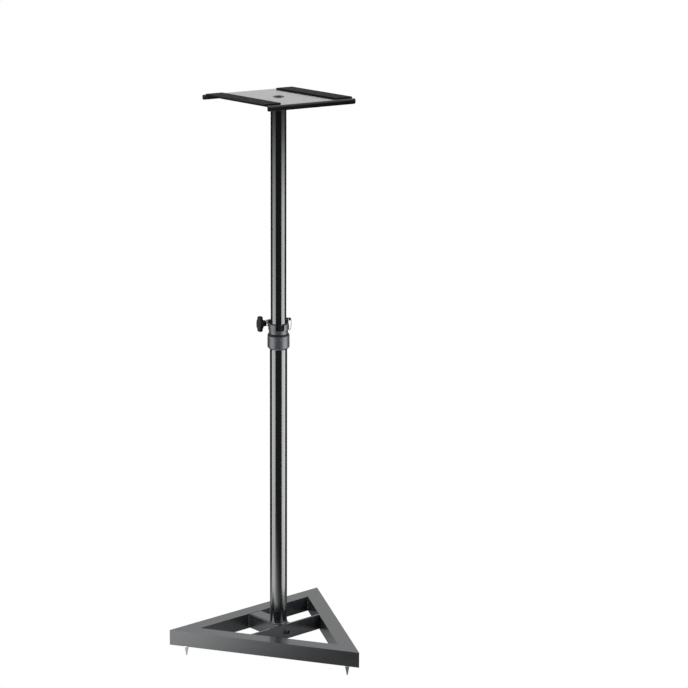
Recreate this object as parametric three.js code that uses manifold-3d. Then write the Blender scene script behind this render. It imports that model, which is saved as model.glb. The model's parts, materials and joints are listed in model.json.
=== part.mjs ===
// Speaker stand with a triangular tube base, a two-part pole and a carrier plate.
// Millimetres, +Z up, floor at z = 0, origin under the middle of the outer box.
import * as THREE from 'three';
import Module from 'manifold-3d';
import { mergeVertices } from 'three/addons/utils/BufferGeometryUtils.js';

const wasm = await Module();
wasm.setup();

// ---- Driving dimensions ----

// Clearances
const GAP = 0.3; // between pieces that touch
const THREAD_GAP = 0.25; // between a screw and its threaded hole, on the radius
const SLIDE_GAP = 0.2; // between sleeves and tubes that fit closely
const OVER = 1; // how far a cutting shape runs past a face

// Base frame
const BASE_SIDE = 450; // outer side of the triangle
const BAR = 35; // square tube, width and height
const BAR_WALL = 2;
const BAR_EDGE_R = 3; // rounding of the tube's long edges
const CORNER_CUT = 0.5; // ground off each outer corner, along its bisector
const BASE_BOTTOM = 28; // underside of the tubes above the floor
const REAR_EDGE = 118; // rear outer edge behind the pole's axis
const POLE_Y = 67.78; // pole's axis behind the origin
const CROSS_BACK = 23; // back of the cross bar in front of the pole's axis
const CROSS_T = 5; // thickness of the cross bar
const ARM_PLUG_LENGTH = 14;
const ARM_HOLE_PLAY = 0.6; // around the foot bolt, on the radius
const CROSS_BOLT_TIP = 11.5; // in front of the pole's axis
const CROSS_WASHER_R = 8.5;
const CROSS_WASHER_T = 1.6;
const BUTTON_R = 6.8; // button head on the cross bar
const BUTTON_HEIGHT = 4.4;
const BUTTON_RIM = 1.2; // straight part of the head's edge
const SOCKET_R = 2.4;
const SOCKET_DEPTH = 2.4;

// Spikes and their fittings
const SPIKE_INSET = 39; // from the sharp outer corner, along its bisector
const SPIKE_TIP_R = 0.9;
const SPIKE_R = 4.9;
const SPIKE_CONE_TOP = 19.2;
const SPIKE_SHANK_BOTTOM = 20.6;
const SPIKE_SHANK_TOP = 52;
const SPIKE_NUT_Z = 21.6;
const SPIKE_NUT_T = 4;
const INSERT_R = 7;
const INSERT_FLANGE_R = 10;
const INSERT_FLANGE_T = 1.8;
const INSERT_HEIGHT = 14;

// Screws: shank radius, and width across flats of the hexagons
const M8_R = 3.9;
const M8_FLATS = 13;
const M10_R = 4.9;
const M10_FLATS = 17;

// Pole tubes
const LOWER_R = 19.4;
const LOWER_WALL = 1.5;
const LOWER_TOP = 723;
const UPPER_R = 17.4;
const UPPER_WALL = 2;
const UPPER_BOTTOM = 553;
const FOOT_PLUG_HEIGHT = 39;
const FOOT_BOLT_TOP = 26; // above the arm
const FOOT_BOLT_HEAD = 6.4;
const FOOT_THREAD_TOP = 30; // end of the plug's threaded hole above the arm
const FOOT_WASHER_R = 12;
const FOOT_WASHER_T = 1.8;
const BUSH_BORE = 12; // plastic collar on the upper tube's foot
const BUSH_COLLAR = 10;
const BUSH_PLUG = 22;

// Clutch
const SLEEVE_R = 24.7;
const SLEEVE_BOTTOM = 704.4;
const SLEEVE_TOP = 735.7;
const SLEEVE_CHAMFER = 4.5;
const SLEEVE_LIP = 0.45; // flat end left inside the lower chamfer
const SMALL_EDGE = 0.8; // small chamfer on rims
const CAP_RIM = 0.7; // straight part of the cap's edge
const CAP_INSET = 0.25; // cap's edge inside the sleeve's
const CAP_SHOULDER = 1.6; // cap's top outside the neck
const CAP_TOP = 739.2;
const NECK_R = 21.6;
const NECK_TOP = 748;
const NECK_SLOPE = 0.8; // height of the slope from the neck to the ring
const RING_R = 22.9;
const RING_BORE = 18.9;
const RIM_Z = 762;
const LINER_BORE = 17.65;
const LINER_INSET = 1; // liner's ends inside the ring's
const SLIT_HALF = 1.5; // half the width of the ring's slit
const EAR_OUT = 11; // outer face of each ear from the slit's middle
const EAR_HALF = 7.2; // half the height of an ear
const CLAMP_Y = 27.3; // clamp screw's axis behind the pole's axis
const CLAMP_Z = 760.3;
const NOTCH_ANGLE = -122; // direction of the front notch, degrees from +X
const NOTCH_WIDTH = 19;
const NOTCH_BOTTOM = 748.8;
const NOTCH_CORNER_R = 3.5;
const NOTCH_DEPTH = 3.4; // reach of the notch either side of the ring's wall
const CLAMP_NUT_T = 6.5;
const CLAMP_WASHER_R = 7;
const CLAMP_WASHER_T = 1.5;
const CLAMP_SCREW_OUT = 8.5; // screw's end from the nut's face

// Hand knob
const KNOB_X = -30.6; // middle of the wing bar on the clamp screw's axis
const KNOB_LENGTH = 35;
const KNOB_WIDTH = 13;
const KNOB_T = 10.5;
const KNOB_END = 0.74; // width of the ends as a share of the middle
const KNOB_BOSS_R = 7.2;
const KNOB_BOSS_END = -16.5;
const KNOB_EDGE = 1.5; // chamfer of the ends and of the boss
const KNOB_BORE_START = 2; // blind end of the bore from the wing's middle
// Half outline of the wing: share of the half length, and share of the half width
const KNOB_BULGE = [[0.66, KNOB_END], [0.42, 0.97], [0.15, 1]];

// Row of holes and safety pin
const HOLE_PITCH = 104;
const HOLE_R = 2.5;
const PIN_Z = 768; // the pin's height, and the height of the hole in front of it
const HOLES_BELOW = 1;
const HOLES_ABOVE = 4;
const PIN_R = 2;
const PIN_TIP = 18; // from the pole's axis
const PIN_END = 31;
const PIN_HEAD_PLAY = 0.2;
const PIN_HEAD_EDGE = 0.6;
const PIN_HEAD_DOME = 1.4;
const PIN_HEAD_R = 3.5;
const PIN_HEAD_START = 28.3;
const PIN_HEAD_END = 32.8;
const BRACKET_T = 2;
const BRACKET_WIDTH = 9;
const BRACKET_BOTTOM = 751;
const BRACKET_SCREW_Z = 756;
const BRACKET_SCREW_R = 1.4;
const BRACKET_SCREW_PLAY = 0.2;
const BRACKET_HEAD_R = 2.8;
const BRACKET_HEAD_T = 1.8;
const BRACKET_HEAD_EDGE = 1.2;

// Carrier plate
const PLATE_TURN = -5.7; // degrees about the pole, as the mast stands
const PLATE_X = 232;
const PLATE_Y = 249.5;
const PLATE_T = 2;
const PLATE_TOP = 1267.4;
const LIP_DROP = 11.6; // from the plate's top to the lips' lower edge
const LIP_BEND_R = 4;
const LIP_END_R = 4;
const FLANGE_R = 30;
const FLANGE_T = 3.9;
const FLANGE_PLUG_BOTTOM = 1235;
const TOP_GAP = 0.2; // between the plate and what lies on it
const PLATE_WASHER_R = 12.3;
const PLATE_WASHER_T = 0.9;
const PLATE_BOLT_START = 4; // tip above the flange plug's lower end
const PLATE_HEAD_R = 7.6;
const PLATE_HEAD_T = 1.2;
const PLATE_HEAD_EDGE = 0.6;
const PLATE_SOCKET_R = 2.6;
const PLATE_SOCKET_DEPTH = 2.8;
const STRIP_WIDTH = 43;
const STRIP_T = 2.8;
const STRIP_RIBS = 9;
const STRIP_GROOVE = 1.5;
const STRIP_GROOVE_DEPTH = 1.1;
const STRIP_SHORTER = 25.5; // than the plate

// ---- Sizes that follow ----

const UP = new THREE.Vector3(0, 0, 1);
const radians = THREE.MathUtils.degToRad;
const BASE_TOP = BASE_BOTTOM + BAR;
const BASE_MIDDLE_Z = BASE_BOTTOM + BAR / 2;
const REAR_Y = POLE_Y + REAR_EDGE;
const APOTHEM = BASE_SIDE / (2 * Math.sqrt(3));
const CENTRE_Y = REAR_Y - APOTHEM;
const CORNER_DISTANCE = 2 * APOTHEM;
const SIDE_ANGLES = { rear: 0, left: 120, right: 240 };
const CORNER_ANGLES = { left: 150, right: 30, front: 270 };
const PLATE_UNDER = PLATE_TOP - PLATE_T;
const UPPER_TOP = PLATE_UNDER - GAP - FLANGE_T - GAP;

const ROUND = 64; // facets of the tubes
const SMALL_ROUND = 32; // facets of screws and small rings
const PIN_ROUND = 24; // facets of the safety pin
const TINY_ROUND = 20; // facets of the pin holes and the bracket's screw

// ---- Materials ----

function material(color, roughness, metalness) {
  return new THREE.MeshStandardMaterial({ color, roughness, metalness });
}
const blackGloss = material(0x17181a, 0.28, 0.3);
const blackCoat = material(0x2a2c2e, 0.42, 0.3);
const satinSleeve = material(0x6a6c6c, 0.5, 0.6);
const blackPlastic = material(0x1c1e20, 0.5, 0);
const blackRubber = material(0x2b2c2c, 0.85, 0);
const brightSteel = material(0xc4c6c6, 0.25, 1);
const blackZinc = material(0x3a3a3c, 0.4, 0.8);

// ---- Helpers ----

/** Turns a closed geometry into a solid that can be cut and joined. */
function solidOf(geometry) {
  const bare = geometry.index ? geometry.toNonIndexed() : geometry.clone();
  bare.deleteAttribute('normal');
  bare.deleteAttribute('uv');
  const merged = mergeVertices(bare, 1e-4);
  return new wasm.Manifold(new wasm.Mesh({
    numProp: 3,
    vertProperties: new Float32Array(merged.attributes.position.array),
    triVerts: new Uint32Array(merged.index.array),
  }));
}

/** Turns a solid back into a flat-shaded geometry. */
function geometryOf(solid) {
  const mesh = solid.getMesh();
  const indexed = new THREE.BufferGeometry();
  indexed.setAttribute('position', new THREE.BufferAttribute(mesh.vertProperties, 3));
  indexed.setIndex(new THREE.BufferAttribute(mesh.triVerts, 1));
  const flat = indexed.toNonIndexed();
  flat.computeVertexNormals();
  return flat;
}

/** Cuts every tool out of the base. */
function cut(base, ...tools) {
  return geometryOf(tools.reduce((left, tool) => left.subtract(solidOf(tool)), solidOf(base)));
}

/** Joins geometries that overlap. */
function join(base, ...parts) {
  return geometryOf(parts.reduce((sum, part) => sum.add(solidOf(part)), solidOf(base)));
}

/** Keeps what two geometries share. */
function common(a, b) {
  return geometryOf(solidOf(a).intersect(solidOf(b)));
}

/** Turns a closed profile of [radius, z] pairs, bottom outside to top outside, about Z. */
function turned(profile, facets = ROUND) {
  const points = profile.map(([r, z]) => new THREE.Vector2(r, z));
  return new THREE.LatheGeometry(points, facets).rotateX(Math.PI / 2);
}

/** A ring or tube with a square section. */
function tube(inner, outer, bottom, top, facets = ROUND) {
  return turned([[inner, bottom], [outer, bottom], [outer, top], [inner, top], [inner, bottom]], facets);
}

/** A plain round bar along Z. */
function rod(radius, bottom, top, facets = SMALL_ROUND) {
  return turned([[0, bottom], [radius, bottom], [radius, top], [0, top]], facets);
}

/** A box given by its limits. */
function block([x0, x1], [y0, y1], [z0, z1]) {
  return new THREE.BoxGeometry(x1 - x0, y1 - y0, z1 - z0)
    .translate((x0 + x1) / 2, (y0 + y1) / 2, (z0 + z1) / 2);
}

/** A closed outline through corner points. */
function outline(corners) {
  return new THREE.Shape(corners.map(([x, y]) => new THREE.Vector2(x, y)));
}

/** A rectangle with rounded corners, given by its limits. */
function roundedRectangle(x0, x1, y0, y1, r, Kind = THREE.Shape) {
  const path = new Kind();
  path.moveTo(x0 + r, y0);
  path.lineTo(x1 - r, y0);
  path.absarc(x1 - r, y0 + r, r, -Math.PI / 2, 0);
  path.lineTo(x1, y1 - r);
  path.absarc(x1 - r, y1 - r, r, 0, Math.PI / 2);
  path.lineTo(x0 + r, y1);
  path.absarc(x0 + r, y1 - r, r, Math.PI / 2, Math.PI);
  path.lineTo(x0, y0 + r);
  path.absarc(x0 + r, y0 + r, r, Math.PI, Math.PI * 1.5);
  return path;
}

/** Extrudes a shape upwards. */
function prism(shape, bottom, top, curveSegments = 6) {
  return new THREE.ExtrudeGeometry(shape, { depth: top - bottom, bevelEnabled: false, curveSegments })
    .translate(0, 0, bottom);
}

/** Extrudes a shape drawn in (across, up) outwards in a level direction, from near to far. */
function outwardPrism(shape, degrees, near, far, curveSegments = 6) {
  const out = new THREE.Vector3(Math.cos(radians(degrees)), Math.sin(radians(degrees)), 0);
  const across = new THREE.Vector3(-out.y, out.x, 0);
  return prism(shape, near, far, curveSegments)
    .applyMatrix4(new THREE.Matrix4().makeBasis(across, UP, out));
}

/** Lays a piece made along Z down along a level direction, at a given height. */
function laid(geometry, degrees, z) {
  return geometry.rotateY(Math.PI / 2).rotateZ(radians(degrees)).translate(0, 0, z);
}

/** A hexagon prism with a round bore. */
function hexNut(flats, bore, bottom, top) {
  const corners = [];
  for (let side = 0; side < 6; side += 1) {
    const angle = radians(60 * side + 30);
    const reach = flats / Math.sqrt(3);
    corners.push([reach * Math.cos(angle), reach * Math.sin(angle)]);
  }
  const shape = outline(corners);
  if (bore > 0) {
    shape.holes.push(new THREE.Path().absarc(0, 0, bore, 0, Math.PI * 2, true));
  }
  return prism(shape, bottom, top, 16);
}

/** Makes a named mesh in a group. */
function piece(group, name, geometry, look, x = 0, y = 0, z = 0) {
  const mesh = new THREE.Mesh(geometry, look);
  mesh.name = name;
  mesh.position.set(x, y, z);
  group.add(mesh);
  return mesh;
}

// ---- Base frame ----

/** The square tube's section, with its outer face at 0 and its inner face at -BAR. */
function barSection(x0, x1) {
  const section = roundedRectangle(x0, x1, 0, BAR, BAR_EDGE_R);
  const inner = BAR_EDGE_R - BAR_WALL;
  section.holes.push(
    roundedRectangle(x0 + BAR_WALL, x1 - BAR_WALL, BAR_WALL, BAR - BAR_WALL, inner, THREE.Path));
  return section;
}

/** Plan of one side: an outline with mitred ends and its outer corners ground off. */
function mitredPlan() {
  const half = BASE_SIDE / 2;
  const cos = Math.cos(radians(30));
  const right = [
    [half - CORNER_CUT / cos, OVER],
    [half - CORNER_CUT / cos, 0],
    [half - CORNER_CUT * cos - GAP, -CORNER_CUT / 2],
    [half - GAP - BAR / Math.tan(radians(30)), -BAR],
    [half - GAP - BAR / Math.tan(radians(30)), -BAR - OVER],
  ];
  const left = right.map(([x, y]) => [-x, y]).reverse();
  return outline([...left, ...right].reverse());
}

/** One mitred side, along X, with half of each spike insert's hole in its lower wall. */
function sideBar() {
  const alongX = new THREE.Matrix4().makeBasis(
    new THREE.Vector3(0, 1, 0), UP, new THREE.Vector3(1, 0, 0));
  const straight = prism(barSection(-BAR, 0), -BASE_SIDE / 2, BASE_SIDE / 2, 4).applyMatrix4(alongX);
  const mitred = common(straight, prism(mitredPlan(), -OVER, BAR + OVER));
  const holes = [-1, 1].map((end) => rod(INSERT_R + GAP, -OVER, BAR_WALL + OVER).translate(
    end * (BASE_SIDE / 2 - SPIKE_INSET * Math.cos(radians(30))), -SPIKE_INSET / 2, 0));
  return cut(mitred, ...holes);
}

function buildSides(stand) {
  for (const [side, turn] of Object.entries(SIDE_ANGLES)) {
    const arm = new THREE.Group();
    arm.position.set(0, CENTRE_Y, BASE_BOTTOM);
    arm.rotation.z = radians(turn);
    stand.add(arm);
    piece(arm, `${side}_bar`, sideBar(), blackCoat, 0, APOTHEM, 0);
  }
}

/** Square tube from the rear bar to the cross bar, with the foot bolt's two holes. */
function centreArm() {
  const front = -CROSS_BACK + GAP;
  const back = REAR_EDGE - BAR - GAP;
  const tubeAlongY = prism(barSection(-BAR / 2, BAR / 2), -back, -front, 4).rotateX(Math.PI / 2);
  return cut(tubeAlongY, rod(M10_R + ARM_HOLE_PLAY, -OVER, BAR + OVER));
}

/** Threaded block inside the arm's front end. */
function armEndPlug() {
  const half = BAR / 2 - BAR_WALL - GAP;
  const front = -CROSS_BACK + GAP;
  const body = block([-half, half], [front, front + ARM_PLUG_LENGTH], [-half, half]);
  return cut(body, laid(rod(M8_R + THREAD_GAP, OVER, -front + OVER), -90, 0));
}

/** Flat bar between the left and right sides, drilled in the middle. */
function crossBar() {
  const innerApex = CENTRE_Y - CORNER_DISTANCE + 2 * BAR - POLE_Y;
  const reach = (y) => (y - innerApex) * Math.tan(radians(30)) - GAP;
  const front = -CROSS_BACK - CROSS_T;
  const plan = outline([
    [-reach(front), front], [reach(front), front],
    [reach(-CROSS_BACK), -CROSS_BACK], [-reach(-CROSS_BACK), -CROSS_BACK],
  ]);
  const drill = laid(
    rod(M8_R + GAP, CROSS_BACK - OVER, CROSS_BACK + CROSS_T + OVER), -90, BAR / 2);
  return cut(prism(plan, 0, BAR), drill);
}

/** Button-head screw whose head sits on the cross bar's washer. */
function crossBarBolt(seat) {
  const end = seat + BUTTON_HEIGHT;
  const middleR = (BUTTON_R + SOCKET_R) / 2;
  const profile = [
    [0, CROSS_BOLT_TIP], [M8_R, CROSS_BOLT_TIP], [M8_R, seat], [BUTTON_R, seat],
    [BUTTON_R, seat + BUTTON_RIM], [(BUTTON_R + middleR) / 2, (seat + BUTTON_RIM + end) / 2],
    [middleR, end - SMALL_EDGE / 2], [SOCKET_R, end],
    [SOCKET_R, end - SOCKET_DEPTH], [0, end - SOCKET_DEPTH],
  ];
  return laid(turned(profile, SMALL_ROUND), -90, 0);
}

function buildCentre(stand) {
  const seat = CROSS_BACK + CROSS_T + GAP;
  const washer = tube(M8_R + GAP, CROSS_WASHER_R, seat, seat + CROSS_WASHER_T, SMALL_ROUND);
  piece(stand, 'centre_arm', centreArm(), blackCoat, 0, POLE_Y, BASE_BOTTOM);
  piece(stand, 'arm_end_plug', armEndPlug(), blackZinc, 0, POLE_Y, BASE_MIDDLE_Z);
  piece(stand, 'cross_bar', crossBar(), blackCoat, 0, POLE_Y, BASE_BOTTOM);
  piece(stand, 'cross_bar_washer', laid(washer, -90, 0), brightSteel, 0, POLE_Y, BASE_MIDDLE_Z);
  piece(stand, 'cross_bar_bolt', crossBarBolt(seat + CROSS_WASHER_T + GAP), brightSteel,
    0, POLE_Y, BASE_MIDDLE_Z);
}

// ---- Spikes ----

function spike() {
  return turned([
    [0, 0], [SPIKE_TIP_R, 0], [SPIKE_R, SPIKE_CONE_TOP], [SPIKE_R, SPIKE_SHANK_BOTTOM],
    [M8_R, SPIKE_SHANK_BOTTOM], [M8_R, SPIKE_SHANK_TOP], [0, SPIKE_SHANK_TOP],
  ], SMALL_ROUND);
}

/** Threaded bush with a flange under the tubes. */
function spikeInsert() {
  const bore = M8_R + THREAD_GAP;
  const flangeTop = BASE_BOTTOM - GAP;
  return turned([
    [bore, flangeTop - INSERT_FLANGE_T], [INSERT_FLANGE_R, flangeTop - INSERT_FLANGE_T],
    [INSERT_FLANGE_R, flangeTop], [INSERT_R, flangeTop], [INSERT_R, flangeTop + INSERT_HEIGHT],
    [bore, flangeTop + INSERT_HEIGHT], [bore, flangeTop - INSERT_FLANGE_T],
  ], SMALL_ROUND);
}

function buildSpikes(stand) {
  for (const [corner, angle] of Object.entries(CORNER_ANGLES)) {
    const reach = CORNER_DISTANCE - SPIKE_INSET;
    const x = reach * Math.cos(radians(angle));
    const y = CENTRE_Y + reach * Math.sin(radians(angle));
    piece(stand, `spike_${corner}`, spike(), brightSteel, x, y, 0);
    piece(stand, `spike_insert_${corner}`, spikeInsert(), blackZinc, x, y, 0);
    piece(stand, `spike_nut_${corner}`,
      hexNut(M8_FLATS, M8_R + THREAD_GAP, SPIKE_NUT_Z, SPIKE_NUT_Z + SPIKE_NUT_T),
      blackZinc, x, y, 0);
  }
}

// ---- Lower pole ----

/** Hexagon bolt that comes up through the arm into the pole's plug. */
function footBolt(headTop) {
  const shank = rod(M10_R, headTop - OVER, BASE_TOP + FOOT_BOLT_TOP);
  return join(hexNut(M10_FLATS, 0, headTop - FOOT_BOLT_HEAD, headTop), shank);
}

function buildLowerPole(stand) {
  const bottom = BASE_TOP + GAP;
  const bore = LOWER_R - LOWER_WALL;
  piece(stand, 'lower_tube', tube(bore, LOWER_R, bottom, LOWER_TOP), blackGloss, 0, POLE_Y, 0);
  const plug = cut(rod(bore - GAP, bottom, bottom + FOOT_PLUG_HEIGHT, ROUND),
    rod(M10_R + THREAD_GAP, bottom - OVER, BASE_TOP + FOOT_THREAD_TOP));
  piece(stand, 'tube_foot_plug', plug, blackZinc, 0, POLE_Y, 0);
  const top = BASE_BOTTOM - GAP;
  const washer = tube(M10_R + GAP, FOOT_WASHER_R, top - FOOT_WASHER_T, top, SMALL_ROUND);
  piece(stand, 'foot_washer', washer, brightSteel, 0, POLE_Y, 0);
  piece(stand, 'foot_bolt', footBolt(top - FOOT_WASHER_T - GAP), brightSteel, 0, POLE_Y, 0);
}

// ---- Clutch ----

function clutchSleeve() {
  const bore = LOWER_R + SLIDE_GAP;
  return turned([
    [bore, SLEEVE_BOTTOM], [bore + SLEEVE_LIP, SLEEVE_BOTTOM],
    [SLEEVE_R, SLEEVE_BOTTOM + SLEEVE_CHAMFER], [SLEEVE_R, SLEEVE_TOP - SMALL_EDGE],
    [SLEEVE_R - SMALL_EDGE, SLEEVE_TOP], [bore, SLEEVE_TOP], [bore, SLEEVE_BOTTOM],
  ]);
}

/** Black ring with a sloping edge that closes the sleeve. */
function sleeveCap() {
  const bottom = SLEEVE_TOP + GAP;
  const outer = SLEEVE_R - CAP_INSET;
  return turned([
    [LINER_BORE, bottom], [outer, bottom], [outer, bottom + CAP_RIM],
    [NECK_R + CAP_SHOULDER, CAP_TOP], [LINER_BORE, CAP_TOP], [LINER_BORE, bottom],
  ]);
}

/** Side view of an ear, rounded about the clamp screw. */
function earOutline() {
  const shape = new THREE.Shape();
  shape.moveTo(NECK_R - OVER, CLAMP_Z - EAR_HALF);
  shape.lineTo(CLAMP_Y, CLAMP_Z - EAR_HALF);
  shape.absarc(CLAMP_Y, CLAMP_Z, EAR_HALF, -Math.PI / 2, Math.PI / 2);
  shape.lineTo(NECK_R - OVER, CLAMP_Z + EAR_HALF);
  shape.closePath();
  return shape;
}

/** Front notch of the clamp ring, open at the rim. */
function notchOutline() {
  const top = RIM_Z + NOTCH_CORNER_R + OVER;
  return roundedRectangle(-NOTCH_WIDTH / 2, NOTCH_WIDTH / 2, NOTCH_BOTTOM, top, NOTCH_CORNER_R);
}

/** Split ring with two ears behind the pole and a notch in front. */
function clampRing() {
  const ring = turned([
    [RING_BORE, CAP_TOP + GAP], [NECK_R, CAP_TOP + GAP], [NECK_R, NECK_TOP],
    [RING_R, NECK_TOP + NECK_SLOPE], [RING_R, RIM_Z - SMALL_EDGE], [RING_R - SMALL_EDGE, RIM_Z],
    [RING_BORE, RIM_Z], [RING_BORE, CAP_TOP + GAP],
  ]);
  const ears = outwardPrism(earOutline(), 0, -EAR_OUT, EAR_OUT, 8);
  const bore = rod(RING_BORE, CAP_TOP, RIM_Z + OVER, ROUND);
  const slitEnd = CLAMP_Y + EAR_HALF + OVER;
  const slit = block([-SLIT_HALF, SLIT_HALF], [RING_BORE / 2, slitEnd], [CAP_TOP, RIM_Z + OVER]);
  const screwHole = laid(rod(M8_R + GAP, -EAR_OUT - OVER, EAR_OUT + OVER), 0, CLAMP_Z)
    .translate(0, CLAMP_Y, 0);
  const notch = outwardPrism(
    notchOutline(), NOTCH_ANGLE, RING_BORE - NOTCH_DEPTH, RING_R + NOTCH_DEPTH);
  const holeR = BRACKET_SCREW_R + BRACKET_SCREW_PLAY;
  const bracketHole = laid(rod(holeR, RING_BORE - OVER, RING_R + OVER), PLATE_TURN, BRACKET_SCREW_Z);
  return cut(join(ring, ears), bore, slit, screwHole, notch, bracketHole);
}

/** Outline of the wing: a bulged middle and narrower ends with small chamfers. */
function wingOutline(middle) {
  const half = KNOB_LENGTH / 2;
  const end = middle * KNOB_END;
  const quarter = [[end - KNOB_EDGE, half], [end, half - KNOB_EDGE]];
  for (const [along, share] of KNOB_BULGE) {
    quarter.push([middle * share, half * along]);
  }
  const mirrored = quarter.map(([x, y]) => [x, -y]).reverse();
  const right = [...quarter, ...mirrored];
  const left = right.map(([x, y]) => [-x, y]).reverse();
  return outline([...right, ...left].reverse());
}

/** Wing bar with a boss on the clamp screw. */
function clampKnob() {
  const acrossScrew = outwardPrism(wingOutline(KNOB_WIDTH / 2), 0, -KNOB_T, KNOB_T);
  const alongScrew = outwardPrism(wingOutline(KNOB_T / 2), 90, -KNOB_WIDTH, KNOB_WIDTH);
  const wing = common(acrossScrew, alongScrew);
  const bossEnd = KNOB_BOSS_END - KNOB_X;
  const boss = laid(turned([
    [0, 0], [KNOB_BOSS_R, 0], [KNOB_BOSS_R, bossEnd - KNOB_EDGE],
    [KNOB_BOSS_R - KNOB_EDGE, bossEnd], [0, bossEnd],
  ], SMALL_ROUND), 0, 0);
  const bore = laid(rod(M8_R + THREAD_GAP, KNOB_BORE_START, bossEnd + OVER), 0, 0);
  return cut(join(wing, boss), bore);
}

function buildClamp(stand) {
  const nutFace = EAR_OUT + GAP;
  piece(stand, 'clamp_ring', clampRing(), blackGloss, 0, POLE_Y, 0);
  piece(stand, 'clamp_liner', tube(LINER_BORE, RING_BORE - GAP, CAP_TOP + LINER_INSET,
    RIM_Z - LINER_INSET), blackPlastic, 0, POLE_Y, 0);
  const nut = hexNut(M8_FLATS, M8_R + THREAD_GAP, nutFace, nutFace + CLAMP_NUT_T)
    .rotateZ(radians(30));
  piece(stand, 'clamp_nut', laid(nut, 0, 0), brightSteel, 0, POLE_Y + CLAMP_Y, CLAMP_Z);
  const washer = tube(
    M8_R + GAP, CLAMP_WASHER_R, -nutFace - CLAMP_WASHER_T, -nutFace, SMALL_ROUND);
  piece(stand, 'clamp_washer', laid(washer, 0, 0), brightSteel, 0, POLE_Y + CLAMP_Y, CLAMP_Z);
  const screw = rod(M8_R, KNOB_X + KNOB_BORE_START + GAP, nutFace + CLAMP_SCREW_OUT);
  piece(stand, 'clamp_screw', laid(screw, 0, 0), brightSteel, 0, POLE_Y + CLAMP_Y, CLAMP_Z);
  piece(stand, 'clamp_knob', clampKnob(), blackPlastic, KNOB_X, POLE_Y + CLAMP_Y, CLAMP_Z);
}

function buildSleeve(stand) {
  piece(stand, 'clutch_sleeve', clutchSleeve(), satinSleeve, 0, POLE_Y, 0);
  piece(stand, 'sleeve_cap', sleeveCap(), blackPlastic, 0, POLE_Y, 0);
  piece(stand, 'guide_liner', tube(LINER_BORE, LOWER_R, LOWER_TOP + GAP, SLEEVE_TOP),
    blackPlastic, 0, POLE_Y, 0);
}

// ---- Safety pin ----

/** Upright tab on the clamp ring that guides the pin. */
function pinBracket() {
  const half = BRACKET_WIDTH / 2;
  const shape = new THREE.Shape();
  shape.moveTo(-half, BRACKET_BOTTOM);
  shape.lineTo(half, BRACKET_BOTTOM);
  shape.lineTo(half, PIN_Z);
  shape.absarc(0, PIN_Z, half, 0, Math.PI);
  shape.closePath();
  shape.holes.push(new THREE.Path().absarc(0, PIN_Z, PIN_R + GAP, 0, Math.PI * 2, true));
  const screwHoleR = BRACKET_SCREW_R + 2 * BRACKET_SCREW_PLAY;
  shape.holes.push(new THREE.Path().absarc(0, BRACKET_SCREW_Z, screwHoleR, 0, Math.PI * 2, true));
  const near = RING_R + GAP;
  return outwardPrism(shape, PLATE_TURN, near, near + BRACKET_T, 8);
}

function bracketScrew() {
  const seat = RING_R + GAP + BRACKET_T + GAP;
  const tip = RING_BORE + BRACKET_SCREW_PLAY;
  return laid(turned([
    [0, tip], [BRACKET_SCREW_R, tip], [BRACKET_SCREW_R, seat], [BRACKET_HEAD_R, seat],
    [BRACKET_HEAD_R - BRACKET_SCREW_PLAY, seat + BRACKET_HEAD_EDGE],
    [BRACKET_HEAD_R - BRACKET_HEAD_EDGE, seat + BRACKET_HEAD_T], [0, seat + BRACKET_HEAD_T],
  ], TINY_ROUND), PLATE_TURN, 0);
}

function buildSafetyPin(stand) {
  const pin = turned([
    [0, PIN_TIP], [PIN_R - SMALL_EDGE, PIN_TIP], [PIN_R, PIN_TIP + SMALL_EDGE],
    [PIN_R, PIN_END], [0, PIN_END],
  ], PIN_ROUND);
  const bore = PIN_R + PIN_HEAD_PLAY;
  const head = turned([
    [0, PIN_END + GAP], [bore, PIN_END + GAP], [bore, PIN_HEAD_START],
    [PIN_HEAD_R - PIN_HEAD_EDGE, PIN_HEAD_START], [PIN_HEAD_R, PIN_HEAD_START + PIN_HEAD_EDGE],
    [PIN_HEAD_R, PIN_HEAD_END - PIN_HEAD_DOME],
    [PIN_HEAD_R - PIN_HEAD_EDGE, PIN_HEAD_END - PIN_HEAD_EDGE / 2], [0, PIN_HEAD_END],
  ], PIN_ROUND);
  piece(stand, 'pin_bracket', pinBracket(), blackGloss, 0, POLE_Y, 0);
  piece(stand, 'bracket_screw', bracketScrew(), brightSteel, 0, POLE_Y, BRACKET_SCREW_Z);
  piece(stand, 'safety_pin', laid(pin, PLATE_TURN, 0), brightSteel, 0, POLE_Y, PIN_Z);
  piece(stand, 'pin_head', laid(head, PLATE_TURN, 0), blackPlastic, 0, POLE_Y, PIN_Z);
}

// ---- Mast: upper tube and carrier plate ----

/** Inner pole tube with a row of holes right through it. */
function upperTube() {
  const holes = [];
  for (let step = -HOLES_BELOW; step <= HOLES_ABOVE; step += 1) {
    const drill = rod(HOLE_R, -UPPER_R - OVER, UPPER_R + OVER, TINY_ROUND);
    holes.push(laid(drill, 0, PIN_Z + step * HOLE_PITCH));
  }
  return cut(tube(UPPER_R - UPPER_WALL, UPPER_R, UPPER_BOTTOM, UPPER_TOP), ...holes);
}

/** Plastic collar with a plug, on the upper tube's foot. */
function guideBush() {
  const collarR = LOWER_R - LOWER_WALL - SLIDE_GAP;
  const plugR = UPPER_R - UPPER_WALL - GAP;
  const collarTop = UPPER_BOTTOM - GAP;
  const bottom = collarTop - BUSH_COLLAR;
  const top = collarTop + BUSH_PLUG;
  return turned([
    [BUSH_BORE, bottom], [collarR, bottom], [collarR, collarTop], [plugR, collarTop],
    [plugR, top], [BUSH_BORE, top], [BUSH_BORE, bottom],
  ]);
}

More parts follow.
